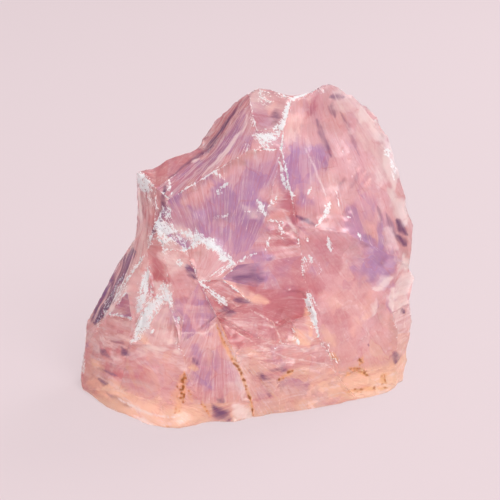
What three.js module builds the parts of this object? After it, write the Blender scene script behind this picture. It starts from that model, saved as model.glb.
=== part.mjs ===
// A rough chunk of rose quartz, broken out of a larger mass and standing on one flat face.
//
// The stone is one solid. Its outside is a patchwork of fracture faces that meet at ridges. The
// corners of the ridges are listed below, in millimetres, and every face is the ring of corners
// that it hangs between. A face is worked out the way a soap film sets: it is stretched between
// its ridges and pressed in (a shell-like scoop) or out (a swelling flank) by its own curvature.
//
// Frame: +Z up from the resting face, +X along the broad front, -Y towards the front.

import * as THREE from 'three';

// ---- driving dimensions (mm) ----

const CREST_HEIGHT = 62;          // resting face to the top of the higher hump
const HALF_LENGTH = 34.5;         // middle of the stone to either end
const FOOT_DEPTH = 20;            // middle of the stone to the toe at its front
const BACK_DEPTH = 21.5;          // middle of the stone to the fullest part of its back
const SCOOP = -0.03;              // curvature of an ordinary shell-like scoop, 1/mm
const DEEP_SCOOP = -0.055;        // curvature of the large window in the front, 1/mm
const SWELL = 0.016;              // curvature of the smooth, swelling flanks, 1/mm
const FLAT = 0;

const SPLITS = [2, 2];            // how often each edge is divided, once for every pass
const SETTLING_STEPS = 60;        // times that a film is averaged after each pass
const RIDGE_WANDER = 0.05;        // how far a ridge strays sideways, as a part of its length

// ---- corners of the ridges ----

// The outline seen from the front, clockwise from the left end of the resting face.
const outline = {
  left_foot: [-HALF_LENGTH, -2, 0],
  left_ankle: [-HALF_LENGTH, 4, 4.5],
  left_shin: [-33, 4, 12.5],
  left_waist: [-26.5, 5, 24.5],
  left_hollow: [-22.5, 5, 30.5],
  spur_tip: [-22, 3, 44.5],
  spur_top: [-18.5, 5, 45.5],
  spur_root: [-10, 5, 49],
  slope_bump: [-8.5, 7, 52],
  left_hump_foot: [0, 7, 60],
  left_hump: [3, 6, 61.5],
  left_hump_end: [6, 4, 61],
  notch: [8.5, 2.5, 60],
  right_hump_start: [11, 4, 60.5],
  right_hump: [13.5, 6, 61.5],
  crest: [16.5, 7, CREST_HEIGHT],
  crest_end: [19.5, 8, 60],
  right_shoulder: [22.5, 9, 58],
  right_arm: [27.5, 10, 52],
  right_hip: [33, 9.5, 34.5],
  right_bulge: [HALF_LENGTH, 9, 28.5],
  upper_nick: [33.5, 8.5, 23],
  upper_lobe: [HALF_LENGTH, 8.5, 20.5],
  middle_nick: [33.5, 8, 15],
  lower_lobe: [HALF_LENGTH, 8, 8.5],
  lower_nick: [33.5, 7.5, 5],
  right_heel: [33, 6.5, 0],
  right_toe: [31, -1.5, 0],
};

// The front edge of the resting face, from right to left.
const frontFoot = {
  foot_a: [22, -7, 0],
  foot_b: [14.5, -10, 0],
  foot_c: [6, -13, 0],
  foot_d: [1, -14.5, 0],
  foot_e: [-2.5, -16.5, 0],
  foot_f: [-8, -16.5, 0],
  foot_g: [-11.5, -19.5, 0],
  toe: [-16, -FOOT_DEPTH, 0],
  foot_h: [-23, -15, 0],
  foot_i: [-30, -8, 0],
};

// Corners inside the upper front: the sloping strip, the window and the central ridge.
const upperFront = {
  spur_heel: [-18, -0.5, 42.5],
  window_left: [-15.5, -1.5, 40.5],
  strip_mid: [-8, 3, 49],
  window_brow_a: [-6.5, -2.5, 46.5],
  window_brow_b: [0.5, -3, 51],
  window_brow_c: [6.5, -3, 51],
  hump_base: [0.5, 3.5, 58.5],
  hump_low: [1.5, -0.5, 54],
  ridge_top: [7, -1, 55],
  window_right: [4, -4.5, 40.5],
  ridge_a: [8.5, -4.5, 42.5],
  window_sill: [3, -6.5, 35.5],
  ridge_b: [9.5, -6, 36.5],
  burst_right: [-2, -8.5, 29.5],
  burst_top: [-9.5, -6, 34],
  burst_left: [-12, -5.5, 31.5],
  ridge_c: [10.5, -7.5, 31],
  ridge_d: [11.5, -8, 24],
  flank_mid: [19, -5.5, 35],
};

// Corners inside the lower front: the fan, the lens and the steps below the ridge.
const lowerFront = {
  fan_apex: [-9.5, -9.5, 26.5],
  lens_top: [4, -9, 30.5],
  lens_right: [3, -10, 25],
  lens_left: [-5, -9.5, 27],
  lens_tip: [0.5, -11, 23],
  fan_shoulder: [-6, -12.5, 20.5],
  step_a: [5.5, -11, 17.5],
  step_b: [8.5, -10, 18.5],
  ridge_e: [13, -9, 19.5],
  ridge_f: [14, -8.5, 14.5],
  step_c: [11, -10, 13],
  ridge_end: [17, -7.5, 9],
  step_d: [1, -13, 16.5],
  fan_edge: [-2.5, -15, 13.5],
  apron_left: [7, -12.5, 10],
  apron_right: [18, -8, 6],
  fan_left: [-13, -13.5, 15],
  fan_heel: [-12.5, -15, 11],
  fan_toe: [-9, -17, 4],
  fan_end: [1, -14.5, 3.5],
  fan_side: [-12.5, -11, 21.5],
};

// Corners inside the left flank, between the side strip and the fan.
const leftFront = {
  strip_a: [-18.5, -1.5, 35],
  strip_b: [-20, -1.5, 30],
  strip_c: [-24, -1, 24],
  strip_d: [-30, 0, 14],
  chute_top: [-16.5, -4, 31],
  streak_top: [-15.5, -8.5, 22.5],
  streak_left: [-19, -7, 22.5],
  streak_end: [-23.5, -8.5, 13],
  pane_left: [-28, -3, 17],
  pane_top: [-24, -4.5, 22.5],
  pane_right: [-23, -6.5, 17.5],
  bevel_left: [-25.5, -11, 4],
  bevel_right: [-17, -17, 4],
};

// Corners inside the chipped right end.
const rightEnd = {
  chip_a: [30.5, 5, 25.5],
  chip_b: [29.5, 4, 14.5],
  chip_c: [31, 3.5, 10],
  chip_d: [30.5, 2.5, 3.5],
};

// Corners of the back, from the foot up.
const back = {
  back_foot_a: [27, 15, 0],
  back_foot_b: [14, 19.5, 0],
  back_foot_c: [-3, 21, 0],
  back_foot_d: [-20, 17, 0],
  back_foot_e: [-32, 7, 0],
  back_belly_a: [30, 15, 18],
  back_belly_b: [17, 20.5, 22],
  back_belly_c: [-2, BACK_DEPTH, 25],
  back_belly_d: [-19, 16, 22],
  back_brow_a: [25, 15.5, 43],
  back_brow_b: [11, 15, 50],
  back_brow_c: [-3, 15.5, 45],
  back_brow_d: [-14, 12, 37],
};

const corners = {
  ...outline, ...frontFoot, ...upperFront, ...lowerFront, ...leftFront, ...rightEnd, ...back,
};

// ---- fracture faces: a curvature, and the ring of corners that each hangs between ----

const upperFrontFaces = [
  [FLAT, 'spur_tip spur_top spur_heel'],
  [FLAT, 'spur_top spur_root strip_mid spur_heel'],
  [SCOOP, 'spur_root slope_bump left_hump_foot hump_base strip_mid'],
  [SCOOP, 'hump_base hump_low window_brow_b window_brow_a window_left spur_heel strip_mid'],
  [SCOOP, 'left_hump_foot left_hump left_hump_end notch ridge_top hump_low hump_base'],
  [FLAT, 'hump_low ridge_top window_brow_c window_brow_b'],
  [DEEP_SCOOP, 'window_left window_brow_a window_brow_b window_brow_c window_right window_sill '
    + 'burst_right burst_top burst_left strip_a'],
  [SCOOP, 'window_brow_c ridge_a window_right'],
  [SCOOP, 'window_right ridge_a ridge_b window_sill'],
  [SCOOP, 'window_sill ridge_b ridge_c lens_top burst_right'],
  [SCOOP, 'burst_left burst_top burst_right lens_left fan_apex'],
  [SWELL, 'notch right_hump_start right_hump crest crest_end right_shoulder right_arm right_hip '
    + 'right_bulge upper_nick chip_a flank_mid ridge_b ridge_a window_brow_c ridge_top'],
];

const lowerFrontFaces = [
  [SCOOP, 'lens_top ridge_c ridge_d lens_right'],
  [SCOOP, 'lens_left burst_right lens_top lens_right'],
  [SCOOP, 'lens_left lens_right lens_tip'],
  [SCOOP, 'fan_apex lens_left lens_tip fan_shoulder'],
  [SCOOP, 'fan_shoulder lens_tip step_a step_d'],
  [SCOOP, 'fan_shoulder step_d fan_edge'],
  [SCOOP, 'lens_tip lens_right ridge_d ridge_e step_b step_a'],
  [SCOOP, 'step_a step_b step_c step_d'],
  [SCOOP, 'step_b ridge_e ridge_f step_c'],
  [SCOOP, 'step_c ridge_f ridge_end apron_right apron_left fan_edge step_d'],
  [SCOOP, 'apron_left apron_right foot_a foot_b foot_c'],
  [SCOOP, 'fan_edge apron_left foot_c foot_d fan_end'],
  [SWELL, 'fan_apex fan_shoulder fan_left fan_side'],
  [SWELL, 'fan_shoulder fan_edge fan_end fan_toe fan_heel fan_left'],
  [SCOOP, 'fan_end foot_d foot_e foot_f fan_toe'],
  [SWELL, 'flank_mid chip_a chip_b chip_c chip_d apron_right ridge_end ridge_f ridge_e ridge_d '
    + 'ridge_c ridge_b'],
  [SCOOP, 'apron_right chip_d right_toe foot_a'],
];

const leftFrontFaces = [
  [SCOOP, 'spur_tip spur_heel strip_a strip_b strip_c strip_d left_shin left_waist left_hollow'],
  [FLAT, 'spur_heel window_left strip_a'],
  [FLAT, 'strip_d left_ankle left_shin'],
  [FLAT, 'strip_a burst_left chute_top'],
  [SCOOP, 'strip_b strip_a chute_top streak_top streak_left'],
  [SCOOP, 'strip_b streak_left pane_top strip_c'],
  [SCOOP, 'chute_top burst_left fan_apex fan_side streak_top'],
  [SCOOP, 'streak_top fan_side fan_left'],
  [FLAT, 'streak_left streak_top streak_end'],
  [SCOOP, 'streak_top fan_left streak_end'],
  [SCOOP, 'streak_left streak_end pane_right pane_top'],
  [SCOOP, 'pane_left pane_top pane_right'],
  [FLAT, 'strip_c pane_top pane_left strip_d'],
  [SWELL, 'left_ankle strip_d pane_left pane_right streak_end bevel_left left_foot'],
  [SCOOP, 'streak_end fan_left fan_heel fan_toe bevel_right bevel_left'],
  [SCOOP, 'left_foot bevel_left foot_h foot_i'],
  [SWELL, 'bevel_left bevel_right toe foot_h'],
  [SCOOP, 'bevel_right fan_toe foot_f foot_g toe'],
];

const rightEndFaces = [
  [SCOOP, 'upper_nick upper_lobe middle_nick chip_b chip_a'],
  [SCOOP, 'middle_nick lower_lobe chip_c chip_b'],
  [SCOOP, 'lower_lobe lower_nick chip_d chip_c'],
  [SCOOP, 'lower_nick right_heel right_toe chip_d'],
];

const backFaces = [
  [SCOOP, 'crest crest_end right_shoulder right_arm back_brow_a back_brow_b'],
  [SCOOP, 'right_arm right_hip right_bulge back_belly_a back_brow_a'],
  [SCOOP, 'right_bulge upper_nick upper_lobe middle_nick lower_lobe lower_nick right_heel '
    + 'back_foot_a back_belly_a'],
  [SCOOP, 'back_brow_a back_belly_a back_belly_b back_brow_b'],
  [SWELL, 'back_belly_a back_foot_a back_foot_b back_belly_b'],
  [SCOOP, 'back_belly_b back_foot_b back_foot_c back_belly_c'],
  [DEEP_SCOOP, 'back_brow_b back_belly_b back_belly_c back_brow_c'],
  [SCOOP, 'left_hump left_hump_end notch right_hump_start right_hump crest back_brow_b back_brow_c'],
  [SCOOP, 'left_hump left_hump_foot slope_bump spur_root back_brow_d back_brow_c'],
  [SCOOP, 'back_brow_c back_belly_c back_belly_d back_brow_d'],
  [SWELL, 'back_belly_c back_foot_c back_foot_d back_belly_d'],
  [FLAT, 'spur_root spur_top spur_tip back_brow_d'],
  [SCOOP, 'spur_tip left_hollow left_waist back_belly_d back_brow_d'],
  [SCOOP, 'left_waist left_shin left_ankle back_foot_e back_foot_d back_belly_d'],
  [FLAT, 'left_ankle left_foot back_foot_e'],
];

const restingFace = [FLAT, 'left_foot foot_i foot_h toe foot_g foot_f foot_e foot_d foot_c foot_b foot_a '
  + 'right_toe right_heel back_foot_a back_foot_b back_foot_c back_foot_d back_foot_e'];

const faces = [
  ...upperFrontFaces, ...lowerFrontFaces, ...leftFrontFaces, ...rightEndFaces, ...backFaces, restingFace,
];

// ---- the solid ----

const RIDGE = -1;                              // owner of a spot that lies on a ridge
const heart = new THREE.Vector3(0, 2, 22);     // a point well inside the stone

// Area-weighted normal of a ring of points, which need not lie in one plane.
function ringNormal(ring) {
  const normal = new THREE.Vector3();
  ring.forEach((point, i) => {
    const next = ring[(i + 1) % ring.length];
    normal.x += (point.y - next.y) * (point.z + next.z);
    normal.y += (point.z - next.z) * (point.x + next.x);
    normal.z += (point.x - next.x) * (point.y + next.y);
  });
  return normal.normalize();
}

const middleOf = (places) => places
  .reduce((sum, place) => sum.add(place), new THREE.Vector3())
  .divideScalar(places.length);

// Ring of a face, turned so that its normal points away from the heart of the stone.
function outwardRing(names) {
  const ring = names.split(' ').map((name) => new THREE.Vector3(...corners[name]));
  const inward = ringNormal(ring).dot(middleOf(ring).sub(heart)) < 0;
  return inward ? ring.reverse() : ring;
}

// A spot is a place on the stone and its owner: the face it lies inside, or RIDGE.
// A patch is three spots, the face they fill, and which of its three sides run along a ridge.

const spotKey = ({ place, owner }) => `${owner} ${place.toArray().map((value) => value.toFixed(5))}`;

// A mesh that shares the spots which its patches have in common.
function weld(patches) {
  const spots = [];
  const places = new Map();
  const indexOf = (spot) => {
    const key = spotKey(spot);
    if (!places.has(key)) {
      places.set(key, spots.length);
      spots.push({ place: spot.place.clone(), owner: spot.owner });
    }
    return places.get(key);
  };
  const triangles = patches.map((patch) => ({ ...patch, corners: patch.corners.map(indexOf) }));
  return { spots, triangles };
}

// Every face filled with flat triangles that fan out from its middle to the sides of its ring.
function patchwork() {
  const patches = faces.flatMap(([, names], face) => {
    const ring = outwardRing(names).map((place) => ({ place, owner: RIDGE }));
    const middle = { place: middleOf(ring.map(({ place }) => place)), owner: face };
    return ring.map((spot, i) => (
      { face, corners: [spot, ring[(i + 1) % ring.length], middle], ridges: [true, false, false] }));
  });
  return weld(patches);
}

// One triangle split into a lattice of splits x splits smaller ones. Row i, column j of the
// lattice is j steps from the first corner to the second and i steps towards the third.
function splitTriangle(corners, ridges, face, splits) {
  const [a, b, c] = corners;
  const spot = (i, j) => {
    const k = splits - i - j;
    if (k === splits) return a;
    if (j === splits) return b;
    if (i === splits) return c;
    const place = new THREE.Vector3()
      .addScaledVector(a.place, k / splits)
      .addScaledVector(b.place, j / splits)
      .addScaledVector(c.place, i / splits);
    const onRidge = (i === 0 && ridges[0]) || (k === 0 && ridges[1]) || (j === 0 && ridges[2]);
    return { place, owner: onRidge ? RIDGE : face };
  };
  const patches = [];
  for (let i = 0; i < splits; i += 1) {
    for (let j = 0; j < splits - i; j += 1) {
      const sides = [i === 0 && ridges[0], i + j === splits - 1 && ridges[1], j === 0 && ridges[2]];
      patches.push({ face, corners: [spot(i, j), spot(i, j + 1), spot(i + 1, j)], ridges: sides });
      if (i + j < splits - 1) {
        const inner = [spot(i, j + 1), spot(i + 1, j + 1), spot(i + 1, j)];
        patches.push({ face, corners: inner, ridges: [false, false, false] });
      }
    }
  }
  return patches;
}

function divide({ spots, triangles }, splits) {
  return weld(triangles.flatMap(({ corners, ridges, face }) => (
    splitTriangle(corners.map((i) => spots[i]), ridges, face, splits))));
}

// For every spot, the numbers of the spots that it shares a side with.
function neighbourhoods({ spots, triangles }) {
  const neighbours = spots.map(() => new Set());
  for (const { corners: [a, b, c] } of triangles) {
    for (const [from, to] of [[a, b], [b, c], [c, a]]) {
      neighbours[from].add(to);
      neighbours[to].add(from);
    }
  }
  return neighbours.map((numbers) => [...numbers]);
}

// Repeatable stray of a place, between -1 and 1 on each axis, from its own coordinates.
function stray({ x, y, z }) {
  const wave = (a, b, c) => {
    const value = Math.sin(a * 12.9898 + b * 78.233 + c * 37.719) * 43.7585;
    return 2 * (value - Math.floor(value)) - 1;
  };
  return new THREE.Vector3(wave(x, y, z), wave(y, z, x), z > 0 ? wave(z, x, y) : 0);
}

// New spots on a ridge stray by a part of the spacing, so that no ridge is ruler-straight.
function wander({ spots }, neighbours, oldKeys) {
  const shifts = spots.map((spot, i) => {
    if (spot.owner !== RIDGE || oldKeys.has(spotKey(spot))) return null;
    const spacing = Math.min(...neighbours[i].map((j) => spot.place.distanceTo(spots[j].place)));
    return stray(spot.place).multiplyScalar(spacing * RIDGE_WANDER);
  });
  spots.forEach((spot, i) => shifts[i] && spot.place.add(shifts[i]));
}

// Films settle: each free spot moves to the average of its neighbours, pushed by its face.
function settle({ spots }, neighbours, normals) {
  for (let step = 0; step < SETTLING_STEPS; step += 1) {
    const settled = spots.map(({ place, owner }, i) => {
      if (owner === RIDGE) return place;
      const around = neighbours[i].map((j) => spots[j].place);
      const spread = around.reduce((sum, other) => sum + other.distanceToSquared(place), 0) / around.length;
      return middleOf(around).addScaledVector(normals[owner], faces[owner][0] * spread / 4);
    });
    spots.forEach((spot, i) => { spot.place = settled[i]; });
  }
}

// The finished outside, with the middle of its bounding box above the origin.
function stoneGeometry() {
  const normals = faces.map(([, names]) => ringNormal(outwardRing(names)));
  let mesh = patchwork();
  for (const splits of SPLITS) {
    const oldKeys = new Set(mesh.spots.map(spotKey));
    mesh = divide(mesh, splits);
    const neighbours = neighbourhoods(mesh);
    wander(mesh, neighbours, oldKeys);
    settle(mesh, neighbours, normals);
  }
  const geometry = new THREE.BufferGeometry();
  geometry.setFromPoints(mesh.spots.map(({ place }) => place));
  geometry.setIndex(mesh.triangles.flatMap(({ corners }) => corners));
  geometry.computeBoundingBox();
  const middle = geometry.boundingBox.getCenter(new THREE.Vector3());
  geometry.translate(-middle.x, -middle.y, 0);
  geometry.computeVertexNormals();
  return geometry;
}

const roseQuartz = new THREE.MeshStandardMaterial({ color: 0xd98f94, roughness: 0.25, metalness: 0 });

const stone = new THREE.Mesh(stoneGeometry(), roseQuartz);
stone.name = 'rose_quartz_chunk';

const model = new THREE.Group();
model.add(stone);

export default model;
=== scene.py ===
"""A rough chunk of rose quartz: its fine outer surface, the veils sealed inside it, and a stage.

The stone is a patchwork of fracture faces that hang between ridges. Each face is a triangular
lattice fanned out from its middle and settled like a soap film: stretched between its ridges and
pressed in or out by its own curvature. Ripples, hackles and chips are then laid over it.
"""

import math

import bpy
import numpy as np
from bpy.props import FloatProperty, FloatVectorProperty, PointerProperty
from bpy.types import Operator, Panel, PropertyGroup
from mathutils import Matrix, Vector


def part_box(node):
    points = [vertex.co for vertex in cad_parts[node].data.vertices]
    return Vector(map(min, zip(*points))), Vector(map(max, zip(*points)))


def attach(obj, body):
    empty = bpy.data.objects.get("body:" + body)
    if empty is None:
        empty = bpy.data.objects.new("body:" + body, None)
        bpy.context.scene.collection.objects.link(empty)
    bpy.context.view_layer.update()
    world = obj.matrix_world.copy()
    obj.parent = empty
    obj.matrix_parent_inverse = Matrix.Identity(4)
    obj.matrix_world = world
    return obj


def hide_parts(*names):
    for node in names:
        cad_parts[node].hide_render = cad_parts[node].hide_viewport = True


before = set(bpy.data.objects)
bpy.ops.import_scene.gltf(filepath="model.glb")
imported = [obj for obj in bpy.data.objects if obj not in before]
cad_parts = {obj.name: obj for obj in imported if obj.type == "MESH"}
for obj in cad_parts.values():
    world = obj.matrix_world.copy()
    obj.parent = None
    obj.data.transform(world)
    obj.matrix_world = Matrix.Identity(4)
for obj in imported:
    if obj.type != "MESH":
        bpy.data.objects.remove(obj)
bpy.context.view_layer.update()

bl_info = {
    "name": "Rose Quartz Chunk",
    "version": (1, 0, 0),
    "blender": (4, 5, 0),
    "location": "View3D > Sidebar > Rose Quartz",
    "description": "Builds a rough rose quartz chunk, its sealed veils and its studio stage",
    "category": "Object",
}

MM = 0.001
NODE = "rose_quartz_chunk"
LOWEST, HIGHEST = (np.array(corner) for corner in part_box(NODE))


# ---------------------------------------------------------------------------------------------
# Corners of the ridges, in millimetres, before the stone is centred on the frame's box
# ---------------------------------------------------------------------------------------------

# The outline seen from the front, clockwise from the left end of the resting face.
OUTLINE = {
    "left_foot": (-34.5, -2, 0),
    "left_ankle": (-34.5, 4, 4.5),
    "left_shin": (-33, 4, 12.5),
    "left_waist": (-26.5, 5, 24.5),
    "left_hollow": (-22.5, 5, 30.5),
    "spur_tip": (-22, 3, 44.5),
    "spur_top": (-18.5, 5, 45.5),
    "spur_root": (-10, 5, 49),
    "slope_bump": (-8.5, 7, 52),
    "left_hump_foot": (0, 7, 60),
    "left_hump": (3, 6, 61.5),
    "left_hump_end": (6, 4, 61),
    "notch": (8.5, 2.5, 60),
    "right_hump_start": (11, 4, 60.5),
    "right_hump": (13.5, 6, 61.5),
    "crest": (16.5, 7, 62),
    "crest_end": (19.5, 8, 60),
    "right_shoulder": (22.5, 9, 58),
    "right_arm": (27.5, 10, 52),
    "right_hip": (33, 9.5, 34.5),
    "right_bulge": (34.5, 9, 28.5),
    "upper_nick": (33.5, 8.5, 23),
    "upper_lobe": (34.5, 8.5, 20.5),
    "middle_nick": (33.5, 8, 15),
    "lower_lobe": (34.5, 8, 8.5),
    "lower_nick": (33.5, 7.5, 5),
    "right_heel": (33, 6.5, 0),
    "right_toe": (31, -1.5, 0),
}

# The front edge of the resting face, from right to left.
FRONT_FOOT = {
    "foot_a": (22, -7, 0),
    "foot_b": (14.5, -10, 0),
    "foot_c": (6, -13, 0),
    "foot_d": (1, -14.5, 0),
    "foot_e": (-2.5, -16.5, 0),
    "foot_f": (-8, -16.5, 0),
    "foot_g": (-11.5, -19.5, 0),
    "toe": (-16, -20, 0),
    "foot_h": (-23, -15, 0),
    "foot_i": (-30, -8, 0),
}

# Corners inside the upper front: the sloping strip, the window and the central ridge.
UPPER_FRONT = {
    "spur_heel": (-18, -0.5, 42.5),
    "window_left": (-15.5, -1.5, 40.5),
    "strip_mid": (-8, 3, 49),
    "window_brow_a": (-6.5, -2.5, 46.5),
    "window_brow_b": (0.5, -3, 51),
    "window_brow_c": (6.5, -3, 51),
    "hump_base": (0.5, 3.5, 58.5),
    "hump_low": (1.5, -0.5, 54),
    "ridge_top": (7, -1, 55),
    "window_right": (4, -4.5, 40.5),
    "ridge_a": (8.5, -4.5, 42.5),
    "window_sill": (3, -6.5, 35.5),
    "ridge_b": (9.5, -6, 36.5),
    "burst_right": (-2, -8.5, 29.5),
    "burst_top": (-9.5, -6, 34),
    "burst_left": (-12, -5.5, 31.5),
    "ridge_c": (10.5, -7.5, 31),
    "ridge_d": (11.5, -8, 24),
    "flank_mid": (19, -5.5, 35),
}

# Corners inside the lower front: the fan, the lens and the steps below the ridge.
LOWER_FRONT = {
    "fan_apex": (-9.5, -9.5, 26.5),
    "lens_top": (4, -9, 30.5),
    "lens_right": (3, -10, 25),
    "lens_left": (-5, -9.5, 27),
    "lens_tip": (0.5, -11, 23),
    "fan_shoulder": (-6, -12.5, 20.5),
    "step_a": (5.5, -11, 17.5),
    "step_b": (8.5, -10, 18.5),
    "ridge_e": (13, -9, 19.5),
    "ridge_f": (14, -8.5, 14.5),
    "step_c": (11, -10, 13),
    "ridge_end": (17, -7.5, 9),
    "step_d": (1, -13, 16.5),
    "fan_edge": (-2.5, -15, 13.5),
    "apron_left": (7, -12.5, 10),
    "apron_right": (18, -8, 6),
    "fan_left": (-13, -13.5, 15),
    "fan_heel": (-12.5, -15, 11),
    "fan_toe": (-9, -17, 4),
    "fan_end": (1, -14.5, 3.5),
    "fan_side": (-12.5, -11, 21.5),
}

# Corners inside the left flank, between the side strip and the fan.
LEFT_FRONT = {
    "strip_a": (-18.5, -1.5, 35),
    "strip_b": (-20, -1.5, 30),
    "strip_c": (-24, -1, 24),
    "strip_d": (-30, 0, 14),
    "chute_top": (-16.5, -4, 31),
    "streak_top": (-15.5, -8.5, 22.5),
    "streak_left": (-19, -7, 22.5),
    "streak_end": (-23.5, -8.5, 13),
    "pane_left": (-28, -3, 17),
    "pane_top": (-24, -4.5, 22.5),
    "pane_right": (-23, -6.5, 17.5),
    "bevel_left": (-25.5, -11, 4),
    "bevel_right": (-17, -17, 4),
}

# Corners inside the chipped right end.
RIGHT_END = {
    "chip_a": (30.5, 5, 25.5),
    "chip_b": (29.5, 4, 14.5),
    "chip_c": (31, 3.5, 10),
    "chip_d": (30.5, 2.5, 3.5),
}

# Corners of the back, from the foot up.
BACK = {
    "back_foot_a": (27, 15, 0),
    "back_foot_b": (14, 19.5, 0),
    "back_foot_c": (-3, 21, 0),
    "back_foot_d": (-20, 17, 0),
    "back_foot_e": (-32, 7, 0),
    "back_belly_a": (30, 15, 18),
    "back_belly_b": (17, 20.5, 22),
    "back_belly_c": (-2, 21.5, 25),
    "back_belly_d": (-19, 16, 22),
    "back_brow_a": (25, 15.5, 43),
    "back_brow_b": (11, 15, 50),
    "back_brow_c": (-3, 15.5, 45),
    "back_brow_d": (-14, 12, 37),
}

CORNERS = {**OUTLINE, **FRONT_FOOT, **UPPER_FRONT, **LOWER_FRONT, **LEFT_FRONT, **RIGHT_END, **BACK}
HEART = np.array((0.0, 2.0, 22.0))
CENTRING = np.array((0.0, -0.8, 0.0))   # step from these corners to the centred stone

# Curvature of a face in 1/mm: scoops are pressed in, swelling flanks pressed out.
SCOOP = -0.03
DEEP_SCOOP = -0.055
SWELL = 0.016
FLAT = 0.0

# Tints that the quartz of a face shows over the plain rose: partly its own colour zones and partly
# painted reflections, the colour each facet takes from light reflected inside the stone.
TINTS = ("lavender", "peach", "plum", "pale", "rosy")

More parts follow.
